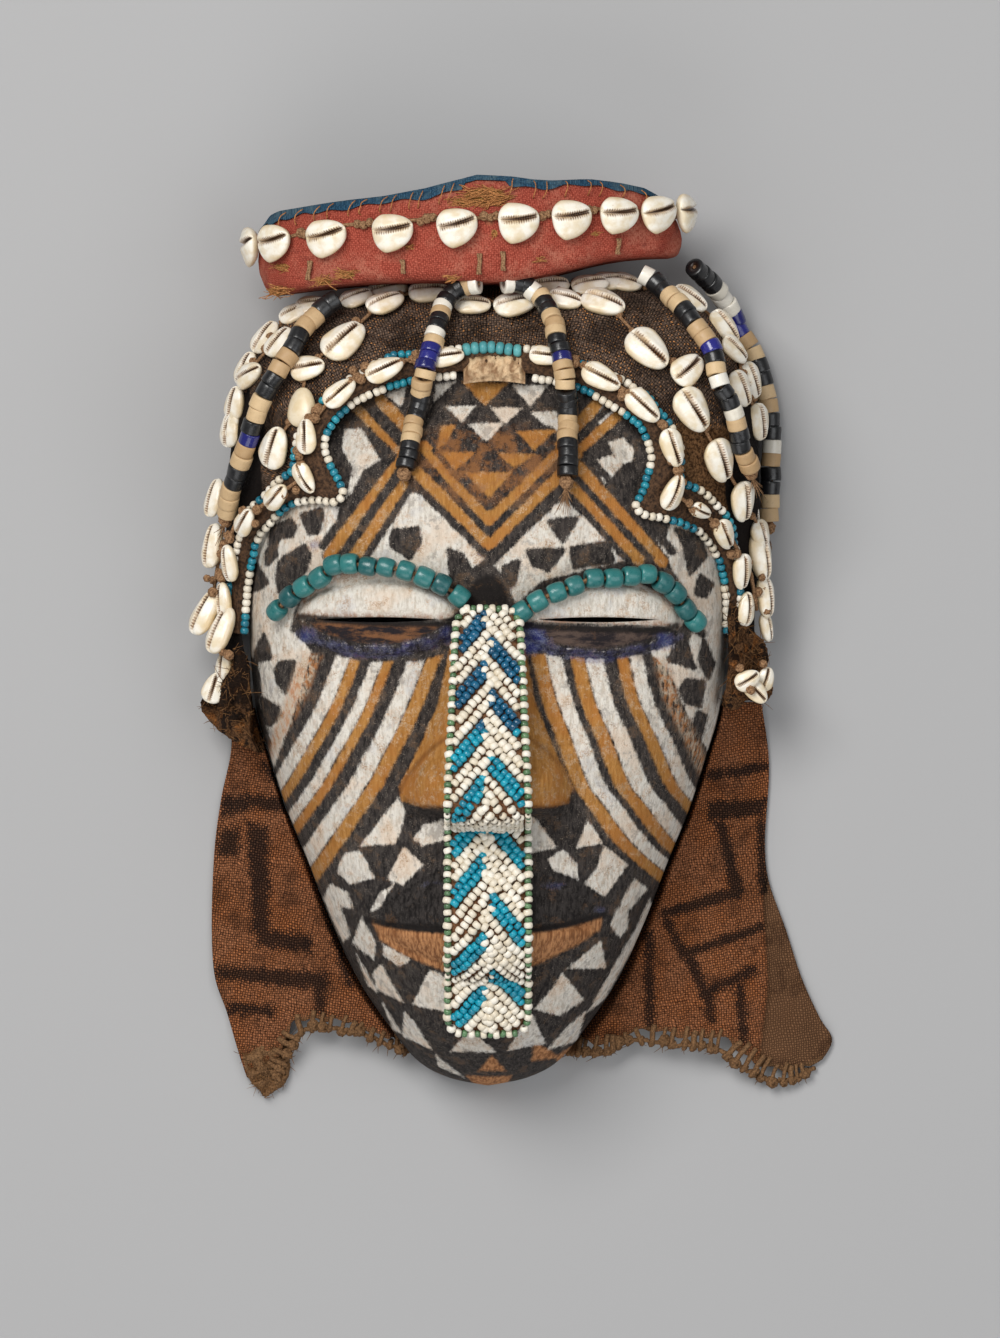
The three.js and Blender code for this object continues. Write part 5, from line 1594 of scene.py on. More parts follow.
def torus(major, minor, around=9, sides=5):
    """A closed turn of cord about Z."""
    a = np.arange(around) * 2 * math.pi / around
    b = np.arange(sides) * 2 * math.pi / sides
    r = major + minor * np.cos(b)[None]
    x, y = r * np.cos(a)[:, None], r * np.sin(a)[:, None]
    z = np.broadcast_to(minor * np.sin(b)[None], x.shape)
    verts = np.stack([x, y, z], -1).reshape(-1, 3)
    i, j = (v.ravel() for v in np.meshgrid(np.arange(around), np.arange(sides), indexing="ij"))
    k, m = (i + 1) % around * sides, (j + 1) % sides
    i = i * sides
    return verts, np.column_stack([i + j, k + j, k + m, i + m])


def knot_master():
    """A small knot: three turns of cord wound about each other."""
    v, f = torus(1.25, 0.72)
    turns = []
    for a, b in ((0.2, 0.3), (1.3, 0.9), (2.2, -0.7)):
        m = np.array(Matrix.Rotation(a, 3, "Z") @ Matrix.Rotation(b + 1.2, 3, "X"))
        turns.append((v @ m.T, f))
    return joined(turns)


KNOT = knot_master()


def knots(name, origins, sizes_):
    """Copies of the knot in one mesh, each turned at random."""
    a = rng.uniform(0, 2 * math.pi, len(origins))
    axes = np.stack([np.stack([np.cos(a), np.sin(a), 0 * a], -1), np.stack([-np.sin(a), np.cos(a), 0 * a], -1),
                     np.tile([0, 0, 1.0], (len(a), 1))], 1) * np.reshape(sizes_, (-1, 1, 1))
    place(name, *stamp(KNOT, origins, axes), material("cord"))


# How far apart two of the cap's cowries are, in photo pixels, to have three knots between them and not two
WIDE_GAP = 50
# The furthest that a cord goes between two cowries of the hood, and of the border, in millimetres
HOOD_REACH, BORDER_REACH = 32, 36


def cords_and_knots(form, hood_at, more_at, border_at):
    """Knotted cord that holds the shells of the cap, the hood and the border."""
    spots, tubes = [], []
    us = np.array([280, 331, 395, 457, 521, 568, 612, 651])
    vs = np.array([241, 229, 224, 221, 220, 213, 211, 214])
    for u0, v0, u1, v1 in zip(us, vs, us[1:], vs[1:]):
        for s in (0.42, 0.52, 0.62) if u1 - u0 > WIDE_GAP else (0.45, 0.58):
            at = plan([(lerp(u0, u1, s), lerp(v0, v1, s) + rng.uniform(-2, 2))])[0]
            spots.append([*at, form.cap_front(at, 2.4, 2)[0]])
    line = spline(plan([(262, 250), *zip(us, vs), (676, 217)]), 8)
    tubes.append(tube(np.column_stack([line, form.cap_front(line, 1.6, 1.5)]), 0.8, 6))
    knots("cap_knots", np.array(spots), rng.uniform(0.95, 1.25, len(spots)))
    shells = np.vstack([hood_at, more_at])
    spots = []
    for i, p in enumerate(shells):
        d = np.linalg.norm(shells - p, axis=1)
        d[i] = 1e9
        for k in np.argsort(d)[:2]:
            if d[k] > HOOD_REACH or (k < i and i in np.argsort(np.linalg.norm(shells - shells[k], axis=1))[1:3]):
                continue
            s = np.linspace(0, 1, 7)
            x, y = lerp(p[0], shells[k][0], s), lerp(p[1], shells[k][1], s)
            at, _ = on_hood(form, x, y, 1.4)
            tubes.append(tube(at, 0.75, 5))
            spots.extend(on_hood(form, x[2:5:2] + rng.normal(0, 0.5, 2), y[2:5:2] + rng.normal(0, 0.5, 2), 1.9)[0])
    knots("hood_knots", np.array(spots), rng.uniform(0.8, 1.15, len(spots)))
    spots = []
    for p, q in zip(border_at, border_at[1:]):
        if np.linalg.norm(p - q) > BORDER_REACH:
            continue
        s = np.linspace(0, 1, 6)
        x, y = lerp(p[0], q[0], s), lerp(p[1], q[1], s)
        at, _ = on_hood(form, x, y, 5.2)
        tubes.append(tube(at, 0.85, 5))
        many = max(2, int(np.linalg.norm(p - q) / 3.6))
        s = np.linspace(0.3, 0.7, many)
        x, y = (lerp(p[k], q[k], s) + rng.normal(0, 1.4, many) for k in (0, 1))
        spots.extend(on_hood(form, x, y, 5.8)[0])
    knots("border_knots", np.array(spots), rng.uniform(0.95, 1.3, len(spots)))
    place("shell_cords", *joined(tubes), material("cord"))


# Beads

def beads(name, look, master, origins, axes, replaces=(), slot=None):
    """Copies of a bead in one mesh, each with its own tone, with painted shade darkening it round its bore."""
    v, n = master[0], len(origins)
    verts, faces = stamp(master, origins, axes)
    r = np.hypot(v[:, 1], v[:, 2])
    bore = smooth(-r, -r.min() * 1.6, -r.min() * 1.05)
    values = {"tone": np.repeat(rng.random(n), len(v)), "bore": np.tile(bore, n)}
    return place(name, verts, faces, material(look), replaces, slot, values)


# Heights of the blue blocks' upper ends on each half of the nose band, in photo pixels
BAND_BLOCKS = {"left": [643, 694, 751, 806, 836, 884, 955, 1009], "right": [669, 721, 785, 848, 922, 983]}

# The outer row of seed beads on the border, from the temple up, in photo pixels
OUTER_ROW = {
    "left": [(228, 632), (228, 597), (229, 585), (230, 571), (234, 560), (243, 524), (248, 512), (262, 499), (272, 489),
             (282, 479), (292, 473), (295, 462), (296, 452), (300, 436), (304, 428), (312, 420), (321, 409),
             (325, 401), (333, 393), (343, 385), (355, 379), (364, 374), (374, 366), (385, 362), (391, 358),
             (415, 355), (461, 351), (492, 350)],
    "right": [(738, 630), (741, 589), (740, 575), (738, 565), (737, 552), (735, 544), (733, 531), (727, 516),
              (718, 508), (708, 497), (699, 491), (691, 487), (681, 485), (679, 472), (680, 464), (679, 451),
              (673, 434), (668, 425), (657, 412), (648, 400), (634, 390), (621, 382), (608, 375), (593, 368),
              (576, 365), (541, 354), (528, 351), (492, 350)],
}
# Where the seed beads are teal: circles, as middle and radius in photo pixels
TEAL_SEEDS = {
    "inner": [(398, 384, 14), (333, 420, 16), (334, 481, 15), (287, 508, 13), (247, 556, 18), (240, 628, 13),
              (582, 388, 13), (633, 428, 18), (644, 486, 15), (686, 523, 15), (723, 570, 17), (729, 635, 8)],
    "outer": [(404, 354, 19), (334, 393, 21), (296, 463, 17), (259, 499, 5), (240, 517, 10), (229, 577, 20),
              (594, 366, 22), (653, 411, 20), (688, 478, 18), (730, 531, 18), (742, 588, 7)],
}
# The larger beads over the leather and the brow beads, in photo pixels
TURQUOISE = [(467, 351), (475, 350), (483.3, 349.3), (491.5, 349), (500, 350), (508.6, 351.2), (517.4, 352.4)]
BROW_BEADS = {
    "left": [(277.6, 610.4), (291, 597), (305, 587), (321, 578), (335.5, 565.5), (351, 564.5), (369, 567), (387, 568),
             (406.5, 571.6), (425, 578), (442, 585), (459.6, 597)],
    "right": [(522, 612), (537.5, 601.6), (556.4, 593), (574, 586.4), (593, 579), (612, 579), (630, 576.6),
              (646, 574.5), (662, 583), (674.6, 593), (685, 609), (695, 621)],
}
# The strands from above, from the cap down, in millimetres
STRANDS = [
    [(-63, 135), (-69.5, 130), (-77, 122), (-82.5, 112.5), (-88.5, 102.5), (-94, 92.5), (-98, 82.5), (-101.3, 73),
     (-104.8, 62.5), (-108, 52.5), (-110, 44)],
    [(-3.5, 140.6), (-7.5, 140.3), (-12, 138.8), (-16, 135.4), (-18.9, 131), (-20.3, 126), (-22.3, 119),
     (-24.5, 111), (-26.5, 101), (-28.6, 90.5), (-31, 80), (-33, 70.5), (-34.5, 63)],
    [(6.8, 140.8), (11.5, 140.9), (16.8, 139.4), (21.2, 136.2), (24.8, 131), (27.5, 124), (29, 116), (30.5, 109),
     (32, 102), (33, 92.5), (33.2, 81.5), (33.2, 68.5), (32.8, 59.5)],
    [(64.5, 145.5), (69, 142.5), (74.5, 137.5), (82, 129.5), (87, 123), (92, 116), (95, 109), (97, 99), (101, 90.5),
     (104, 82), (106, 73), (109.5, 63.5)],
    [(87, 149), (93, 143.5), (98, 138), (103, 130), (107, 122), (111, 115), (115, 106), (117.5, 97.5), (119.3, 88),
     (120, 79.5), (120, 70), (120, 60), (119.5, 50), (119, 42)],
]
# Beads of each strand from the cap down: k black, t tan, w white, b blue
STRAND_COLOURS = ["kkttkkttkkttkbttkkttt", "wtkkkwtkkwtbbbtttkkktttkkk", "wkkwtkktttkkbtttkkktttkkkk",
                  "wkkttkkttbktwkkwtkktt", "kkkwwwbbttkkttkkwtkktt"]
# The tuft at each strand's end: how many fibres and how long
TUFTS = [(14, 11), (3, 5), (26, 13), (16, 14), (14, 12)]
DISC_LOOKS = {"k": "black_disc", "t": "tan_disc", "w": "white_disc", "b": "blue_disc"}


# How often a strand's line is evened out between the places that it rests on
SAG_PASSES = 120


def strand_line(form, points, radius):
    """A strand's middle line: from under the cap down onto the hood and the forehead."""
    line = spline(points)
    line = walk(line, np.linspace(0, run_of(line)[-1], 140))
    x, y = line.T
    rest = highest(form.top, 3)(x, y) + radius + 0.4
    c = form.cap
    start = c.z + c.half_depth * math.sqrt(max(0, 1 - ((x[0] - c.x) / c.half_width) ** 2)) - 8.2
    z = np.maximum(rest, lerp(start, rest, smooth(run_of(line), 0, 22)))
    for _ in range(SAG_PASSES):
        z[1:-1] = np.maximum(rest[1:-1], (z[:-2] + z[2:]) / 2)
    return np.column_stack([line, z])


def frayed(at, way, many, long, spread, radius=0.26):
    """A tuft of fibres from a point."""
    way = np.asarray(way, float) / np.linalg.norm(way)
    parts = []
    for _ in range(many):
        side = rng.normal(0, spread, 3)
        side[2] = abs(side[2]) * 0.5
        half = long * rng.uniform(0.5, 1)
        line = [at + (way * s + side * s * s + [0, 0, 0.1 * s]) * half for s in (0, 0.35, 0.7, 1)]
        parts.append(tube(line, radius, 3, [1, 1, 0.8, 0.4]))
    return parts


def strands(form):
    b = sizes("mask_beads")
    for i, (points, colours) in enumerate(zip(STRANDS, STRAND_COLOURS)):
        line = strand_line(form, points, b.disc_radius)
        n, long = len(colours), run_of(line)[-1]
        pitch = long / n
        spots = walk(line, (np.arange(n) + 0.5) * pitch)
        along = walk(line, np.minimum((np.arange(n) + 0.6) * pitch, long)) - walk(line, (np.arange(n) + 0.4) * pitch)
        axes = axes_along(along + rng.normal(0, 0.02, along.shape), [[0, 0, 1]])
        axes = turned(axes, rng.normal(0, 0.06, n), 2)
        swell = rng.uniform(0.95, 1.05, (n, 1))
        axes = axes * np.stack([np.full((n, 1), pitch / b.disc_length), swell, swell], 1)
        spots = spots + np.column_stack([rng.normal(0, 0.3, n), rng.normal(0, 0.12, n), 0 * np.arange(n)])
        master = bead(b.disc_radius * 1.02, b.disc_length / 2, 1.1, 22, 0.05, 8, 12)
        group = [place_of(f"strand_{i + 1}_{key}", DISC_LOOKS[key], master, spots, axes, colours, key)
                 for key in dict.fromkeys(colours)]
        curve = bpy.data.curves.new(f"strand_{i + 1}_thread", "CURVE")
        curve.dimensions, curve.bevel_depth, curve.bevel_resolution = "3D", b.thread / 2000, 3
        curve.use_fill_caps = True
        path = curve.splines.new("POLY")
        past = line[-1] + (line[-1] - line[-4]) / np.linalg.norm(line[-1] - line[-4]) * 2.5
        at = (np.vstack([line[::3], line[-1:], past[None]]) + shift()) / 1000
        path.points.add(len(at) - 1)
        path.points.foreach_set("co", np.column_stack([at, np.ones(len(at))]).ravel())
        thread = add(curve.name, curve)
        curve.materials.append(material("cord"))
        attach(thread, "root")
        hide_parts(f"bead_strand_{i + 1}")
        tuft = frayed(past, past - line[-4], *TUFTS[i], 0.22)
        tuft.append((KNOT[0] * 1.7 + past, KNOT[1]))
        tail = place(f"strand_{i + 1}_end", *joined(tuft), material("cord"))


def place_of(name, look, master, spots, axes, colours, key):
    """The beads of one colour in a strand."""
    these = np.array([c == key for c in colours])
    return beads(name, look, master, spots[these], axes[these], (), "disc_beads")


def seed_rows(form):
    """Rows of seed beads along both edges of the border; larger turquoise ones over the leather."""
    b = sizes("mask_beads")
    rows = {"white": [], "teal": []}
    for side in SIDES:
        inner = hairline(side, -0.9)
        inner = inner[(inner[:, 0] < -11.5) | (inner[:, 0] > 17)]
        outer = spline(plan(OUTER_ROW[side]))
        outer = outer[(outer[:, 0] < -10.5) | (outer[:, 0] > 14.5)]
        for which, line, lift in (("inner", inner, -0.6), ("outer", outer, 3.4)):
            spots = spaced(line, b.seed_pitch)
            at = np.column_stack([spots, form.hood_z(spots[:, 0], spots[:, 1]) + lift])
            way = np.gradient(at, axis=0)
            c = Canvas(spots[:, 0], spots[:, 1])
            teal = np.max([c.oval(u, v, r, r) for u, v, r in TEAL_SEEDS[which]], axis=0) > 0
            for k in range(len(at)):
                rows["teal" if teal[k] else "white"].append((at[k], way[k]))
    master = bead(b.seed_radius, b.seed_pitch * 0.47, 0.5, 12, 0.42, 5)
    for key, items in rows.items():
        at, way = (np.array(v) for v in zip(*items))
        axes = turned(axes_along(way, [[0, 0, 1]]), rng.normal(0, 0.12, len(at)), 2)
        at = at + rng.normal(0, 0.15, at.shape)
        beads(f"border_seeds_{key}", f"{key}_seed", master, at, axes, (), "seed_beads")
    spots = plan(TURQUOISE)
    at = np.column_stack([spots, form.hood_z(spots[:, 0], spots[:, 1]) + 3.9])
    axes = turned(axes_along(np.gradient(at, axis=0), [[0, 0, 1]]), rng.normal(0, 0.08, len(at)), 2)
    beads("turquoise_seeds", "turquoise", bead(2.7, 1.62, 0.5, 18, 0.35, 7), at, axes, (), "seed_beads")


def border_strip(form, rows=260):
    """The dark strip under the border's shells and beads."""
    parts = []
    for side in SIDES:
        inner, outer = hairline(side, 0.6), spline(plan(OUTER_ROW[side]))
        a, b = (walk(v, np.linspace(0, run_of(v)[-1], rows)) for v in (inner, outer))
        across = np.linspace(0, 1, 9)
        top = lerp(a[:, None], b[:, None], across[None, :, None])
        x, y = top[..., 0], top[..., 1]
        high = lerp(0.3, 2.6, smooth(across, 0, 0.3))[None] + 0.5 * np.sin(x * 0.9) * np.sin(y * 0.8)
        high = high + 0.7 * np.sin(across * math.pi)[None]
        z = form.hood_z(x, y)
        up = np.dstack([x, y, z + high])
        low = np.dstack([x, y, z + 0.6])
        ring = np.concatenate([up, low[:, ::-1]], axis=1)
        k = ring.shape[1]
        end = np.array([[i, i + 1, k - 2 - i, k - 1 - i] for i in range(len(across) - 1)])
        faces = np.vstack([grid_faces(rows, k, closed=True), end, end[:, ::-1] + (rows - 1) * k])
        parts.append((ring.reshape(-1, 3), faces[:, ::-1 if side == "right" else 1]))
    place("border_strip", *joined(parts), material("edging"), ["hairline_edging"], "edging")


def leather_piece(form):
    """A wrinkled piece of leather in the middle of the border."""
    u, v = np.meshgrid(np.linspace(0, 1, 48), np.linspace(0, 1, 22))
    x, y = lerp(-10.2, 15.6, u), lerp(98.4, 110.6, v) + 1.2 * np.sin(u * math.pi)
    edge = smooth(np.minimum(np.minimum(u, 1 - u) * 3, np.minimum(v, 1 - v) * 1.6), 0, 0.3)
    fold = 0.55 * np.sin(x * 1.5 + 1.4 * np.sin(y * 1.1)) + 0.4 * np.sin(x * 0.7 - y * 1.7)
    ribs = 0.4 * np.sin(x * 3.3) * smooth(v, 0.5, 0.75)
    z = form.hood_z(x, y) + 0.9 + edge * (1.2 + 1.9 * smooth(v, 0, 0.35) + fold + ribs)
    low = form.hood_z(x, y) + 0.8
    place("leather_piece", *slab(np.dstack([x, y, z]), np.dstack([x, y, low])), material("leather"))


def brow_beads(form):
    """A row of big glass beads over each eye, on its thread."""
    b = sizes("mask_beads")
    for side in SIDES:
        spots = plan(BROW_BEADS[side])
        z = highest(form.wood, 3)(spots[:, 0], spots[:, 1]) + b.brow_radius + 0.5
        at = np.column_stack([spots, z])
        n = len(at)
        axes = turned(axes_along(np.gradient(at, axis=0), [[0, 0, 1]]), rng.normal(0, 0.07, n), 2)
        axes = axes * np.stack([rng.uniform(0.94, 1.04, (n, 1)), *(rng.uniform(0.95, 1.06, (n, 1)),) * 2], 1)
        master = bead(b.brow_radius * 1.06, 3.56, 1.0, 24, 0.2, 9, 4)
        beads(f"brow_{side}", "brow_glass", master, at, axes, [f"brow_beads_{side}"], "brow_glass")
        line = spline(at, 5)
        place(f"brow_thread_{side}", *tube(line, 0.95, 8), material("cord"))


# How far the band's seed beads lie off the face, and their radius and half length
BAND_LIFT = 4.4
BAND_SEEDS = {"white": (2.0, 1.3), "bright": (1.84, 1.24), "deep": (1.8, 1.24), "green": (1.6, 1.0)}


def band_profile(form):
    """The line that the nose band's beads follow down the face: rows of (distance along it, y, z)."""
    y = np.linspace(4.5, -173, 700)
    z = np.max([form.wood(t * band_half(y), y) for t in (-0.8, -0.4, 0, 0.4, 0.8)], axis=0)
    gap = np.abs(y[:, None] - y[None, :])
    z = np.where(gap < BAND_LIFT, z[None, :] + np.sqrt(np.maximum(0, BAND_LIFT**2 - gap**2)), 0).max(axis=1)
    k = 8
    z = np.convolve(np.pad(z, k, mode="edge"), np.hanning(2 * k + 1) / np.hanning(2 * k + 1).sum(), "valid")
    return np.column_stack([run_of(np.column_stack([y, z])), y, z])


def band_half(y):
    """The nose band's half width at a height."""
    return lerp(14, 17.7, np.clip((-y + 3) / 80, 0, 1))


def band_edge(profile, s):
    """The line of the band's edge beads, drawn in at its rounded ends."""
    ends = np.minimum(s, profile[-1, 0] - s)
    return band_half(np.interp(s, profile[:, 0], profile[:, 1])) - 0.9 - 4.5 * np.clip(1 - ends / 8, 0, 1) ** 2


def band_place(profile, x, s, lift):
    """A point on the nose band, x across it and s along it, with its normal in the plane of Y and Z."""
    y, z = np.interp(s, profile[:, 0], profile[:, 1]), np.interp(s, profile[:, 0], profile[:, 2])
    y2, z2 = np.interp(s + 1, profile[:, 0], profile[:, 1]), np.interp(s + 1, profile[:, 0], profile[:, 2])
    along = np.stack([0 * y, y2 - y, z2 - z], -1)
    along /= np.linalg.norm(along, axis=-1)[..., None] + 1e-9
    normal = np.stack([0 * y, along[..., 2], -along[..., 1]], -1)
    camber = 2.6 * (1 - np.clip(np.abs(x) / band_half(y), 0, 1) ** 2)
    return np.stack([x, y, z], -1) + normal * (lift - BAND_LIFT + camber)[..., None], along, normal


def nose_band(form):
    """Woven thread down the nose with chevrons of seed beads between edges of white and green beads."""
    profile = band_profile(form)
    long = profile[-1, 0]
    s, t = np.meshgrid(np.linspace(0.6, long - 0.6, 160), np.linspace(-1, 1, 17), indexing="ij")
    y = np.interp(s, profile[:, 0], profile[:, 1])
    half = band_edge(profile, s) - 0.4
    round_end = np.minimum(1, 0.86 + 0.14 * smooth(np.minimum(s, long - s), 0, 4))
    top, _, _ = band_place(profile, t * half * round_end, s, 3.0 + 0 * s)
    low, _, _ = band_place(profile, t * half * round_end, s, 1.6 + 0 * s)
    verts, faces = slab(top, low)
    place("nose_band_backing", verts, faces[:, ::-1], material("backing"), ["nose_band"], "seed_beads")
    rows = {"white": [], "bright": [], "deep": [], "green": []}
    for way, blocks in ((-1, BAND_BLOCKS["left"]), (1, BAND_BLOCKS["right"])):
        starts = np.interp((np.array(blocks) - EYE_LINE_V) * PIXEL_MM, -profile[:, 1], profile[:, 0]) - 9.5
        lanes = []
        for a, b in zip([-16, *starts], [*starts, long + 8]):
            if a > -15:
                lanes += [(a - 2.4, True), (a + 2.4, True)]
            gap = b - a - 4.8
            many = max(1, round(gap / 6.0) - 1)
            lanes += [(a + 2.4 + gap * (k + 1) / (many + 1), False) for k in range(many)]
        for start, blue in lanes:
            pitch = 2.7 if blue else 2.9
            for step in range(9):
                x = (1.7 if blue else -1.2) + pitch * 0.643 * step + rng.normal(0, 0.15)
                at_s = start + pitch * 0.766 * step + rng.normal(0, 0.15) - (0 if blue else 3.45)
                y = np.interp(at_s, profile[:, 0], profile[:, 1])
                if not 2.8 < at_s < long - 3.4 or x > band_edge(profile, at_s) - 2.0:
                    continue
                colour = "white" if not blue else ("deep" if y > -46 else "bright")
                rows[colour].append((way * x, at_s, way * 0.643, 0.766))
    for key, gap in (("white", 0), ("green", 2.65)):
        for way in (-1, 1):
            for at_s in np.arange(1.6 + gap, long - 1.2, 5.3):
                rows[key].append((way * band_edge(profile, at_s), at_s, 0, 1))
        for at_s in (1.0, long - 1.0):
            half_here = band_edge(profile, at_s)
            for x in np.arange(-half_here + 1 + gap, half_here - 1, 5.3):
                rows[key].append((x, at_s, 1, 0))
    for key, items in rows.items():
        items = np.array(items)
        x, at_s, dx, ds = items.T
        at, along, normal = band_place(profile, x, at_s, BAND_LIFT + 0 * x)
        way = along * ds[:, None] + np.array([1.0, 0, 0]) * dx[:, None]
        axes = turned(axes_along(way, normal), rng.normal(0, 0.16, len(x)), 2)
        master = bead(*BAND_SEEDS[key], 0.5, 9, 0.24, 4, 4)
        steep = smooth(np.abs(along[:, 2]), 0.6, 0.9)
        axes = axes * (1 - 0.3 * steep + rng.normal(0, 0.05, len(x)))[:, None, None]
        beads(f"band_seeds_{key}", f"{key}_seed", master, at + rng.normal(0, 0.12, at.shape), axes, (), "seed_beads")


# The cloth flaps

FLAPS = {
    "left": {
        "top": [(-98.9, -37), (-110, -38)],
        "hem": [(-33.5, -183), (-44, -179), (-58.8, -173.7), (-79, -174), (-86, -186), (-92, -198), (-101, -198)],
        "outside": [(-110, -38), (-109, -54), (-113.4, -76), (-116.5, -102), (-116.2, -150), (-111, -166),
                    (-106, -183), (-101, -198)],
        "bars": [[(218, 796), (250, 793), (288, 796), (286, 816), (250, 812), (216, 822)],
                 [(243, 822), (268, 826), (270, 938), (248, 936)], [(250, 926), (310, 936), (312, 958), (254, 950)],
                 [(212, 966), (330, 974), (328, 996), (212, 984)], [(223, 1004), (276, 1008), (274, 1022), (222, 1018)],
                 [(311, 972), (328, 974), (326, 1020), (312, 1020)], [(214, 830), (240, 826), (238, 860), (212, 860)]],
        "lines": [[(262, 766), (292, 800), (316, 880), (348, 986)]],
    },
    "right": {
        "top": [(99.1, -34.6), (116, -34.6)],
        "hem": [(33.5, -183), (48.5, -183), (60, -178), (79, -179.6), (98, -182), (107.4, -189), (123, -195.5),
                (139.5, -190)],
        "outside": [(116, -34.6), (119.2, -60), (117.5, -96), (119, -110), (126.3, -131), (133.4, -152.5), (141, -169),
                    (146, -178), (139.5, -190)],
        "bars": [[(716, 822), (728, 824), (746, 894), (734, 902)], [(742, 886), (744, 900), (664, 922), (660, 912)],
                 [(709, 802), (768, 800), (768, 816), (709, 822)], [(661, 918), (671, 918), (692, 958), (682, 962)],
                 [(682, 954), (692, 950), (716, 1000), (718, 1026), (708, 1026), (704, 1002)]],
        "lines": [[(712, 776), (768, 768)], [(764, 826), (766, 892)], [(684, 957), (762, 930)],
                  [(705, 996), (757, 972)], [(742, 990), (746, 1042)], [(650, 938), (651, 1028)]],
    },
}
# The fold of the right flap, over the second layer of cloth, in photo pixels
FOLD = [(770, 868), (766, 900), (768, 940), (770, 990), (764, 1040), (758, 1080)]


def flap_patch(side, u, v):
    """A point of the flap: u from the wood out to the free edge, v from the top down to the hem."""
    spec = FLAPS[side]
    top, hem, out = (np.asarray(spec["top"], float), spline(spec["hem"]), spline(spec["outside"]))
    flat = u.ravel(), v.ravel()
    tops = lerp(top[:1], top[1:], flat[0][:, None])
    hems = walk(hem, flat[0] * run_of(hem)[-1])
    outs = walk(out, flat[1] * run_of(out)[-1])
    y = lerp(top[0, 1], hem[0, 1], flat[1])
    way = -1 if side == "left" else 1
    wood, wood_low, wood_top = (np.column_stack([way * (half_width_at(at) + 0.3), at])
                                for at in (y, hem[:1, 1], top[:1, 1]))
    a, b = flat[0][:, None], flat[1][:, None]
    corners = ((1 - a) * (1 - b) * wood_top + a * (1 - b) * top[1] + (1 - a) * b * wood_low + a * b * hem[-1])
    p = (1 - b) * tops + b * hems + (1 - a) * wood + a * outs - corners
    x, y = p.T
    u, v = flat
    z = 0.6 + 22 * (1 - u) ** 1.4 * (0.15 + 0.85 * smooth(u, 0, 0.05)) * (1 - 0.45 * v)
    z = z + 3 * np.sin(math.pi * u) * (0.4 + v)
    z = z + (0.8 * np.sin(x * 0.13 + y * 0.05) + 0.5 * np.sin(x * 0.3 - y * 0.11)) * smooth(u, 0.05, 0.3)
    if side == "right":
        fold = spline(plan(FOLD), 6)[::-1]
        beyond = x - np.interp(y, fold[:, 1], fold[:, 0])
        z = z + 2.6 * smooth(-beyond, -0.5, 0.5) * smooth(-y, 103, 112) * smooth(u, 0.3, 0.6)
    return np.column_stack([x, y, np.maximum(z, 0.6)])


def flap(form, side, rows=130, columns=74):
    """A cloth flap with its dark bars and its corded, looped hem."""
    v, u = np.meshgrid(np.linspace(0, 1, rows), np.linspace(0, 1, columns), indexing="ij")
    v = v * (0.972 - 0.006 * np.sin(57 * u) - 0.004 * np.sin(23 * u + 1))
    low = flap_patch(side, u, v)
    top = low + [0, 0, 1.5]
    is_right = side == "right"
    way = 1 if is_right else -1
    verts, faces = slab(top.reshape(rows, columns, 3), low.reshape(rows, columns, 3))
    c = Canvas(verts[:, 0], verts[:, 1])
    spec = FLAPS[side]
    bars = np.maximum(c.polygons(spec["bars"]), c.strokes(spec["lines"], 10))
    hem = smooth(v, 0.95, 0.97)
    fold = spline(plan(FOLD), 6)[::-1]
    beyond = verts[:, 0] - np.interp(verts[:, 1], fold[:, 1], fold[:, 0])
    second = smooth(beyond, -0.5, 0.5) * smooth(-verts[:, 1], 103, 108) * is_right
    slant = 0.12 * way
    weave = np.column_stack([verts[:, 0] + slant * verts[:, 1], verts[:, 1] - slant * verts[:, 0], 0 * verts[:, 0]])
    bars = bars * PIXEL_MM + 0.5 if is_right else bars * PIXEL_MM * 0.7
    values = {"weave": weave, "bars": bars, "second": second, "hem": np.tile(hem.ravel(), 2)}
    obj = place(f"flap_{side}", verts, faces[:, ::-way], material("flap_cloth"), [f"cloth_flap_{side}"],
                "flap_cloth", values)
    area = float(sheet_area(top.reshape(rows, columns, 3))) / 1e6
    hem_line = flap_patch(side, np.linspace(0, 1, 300), np.full(300, 1.0))
    hem_line = hem_line[:-30] if side == "left" else hem_line
    spots = walk(hem_line, np.cumsum(rng.uniform(2.6, 5.6, 60)))
    spots = spots[np.linalg.norm(spots - hem_line[-1], axis=1) > 1.5]
    inward = flap_patch(side, np.linspace(0, 1, 300), np.full(300, 0.945))
    loops = [tube(hem_line[::3] + [0, 0, 1.0] + rng.normal(0, 0.35, hem_line[::3].shape), 1.0, 7)]
    for at in spots:
        near = inward[np.argmin(np.linalg.norm(inward[:, :2] - at[:2], axis=1))]
        back = near - at
        reach = np.linalg.norm(back[:2])
        back /= np.linalg.norm(back) + 1e-9
        slant = np.array([-back[1], back[0], 0]) * rng.uniform(0.5, 1.4)
        line = [at + back * reach * rng.uniform(0.8, 1.1) + [0, 0, 1.9],
                at + back * reach * 0.5 + slant * 0.6 + [0, 0, 2.0], at + slant * 0.5 + [0, 0, 2.4],
                at + slant - back * 1.5 + [0, 0, 1.0], at - back * 0.6 + [0, 0, 0.3]]
        loops.append(tube(spline(line, 3), rng.uniform(0.75, 1.3), 6))
        if rng.random() < 0.85:
            turn = np.array(Matrix.Rotation(rng.uniform(0, math.pi), 3, "Z"))
            knot = KNOT[0] @ turn * rng.uniform(0.8, 1.5) + at + [0, 0, 1.2] - back * rng.uniform(-1.5, 1.2)
            loops.append((knot, KNOT[1]))
        loops += frayed(at - back + [0, 0, 1], -back + slant, 2, rng.uniform(2, 4), 0.5, 0.22)
    place(f"hem_{side}", *joined(loops), material("hem_cord"))


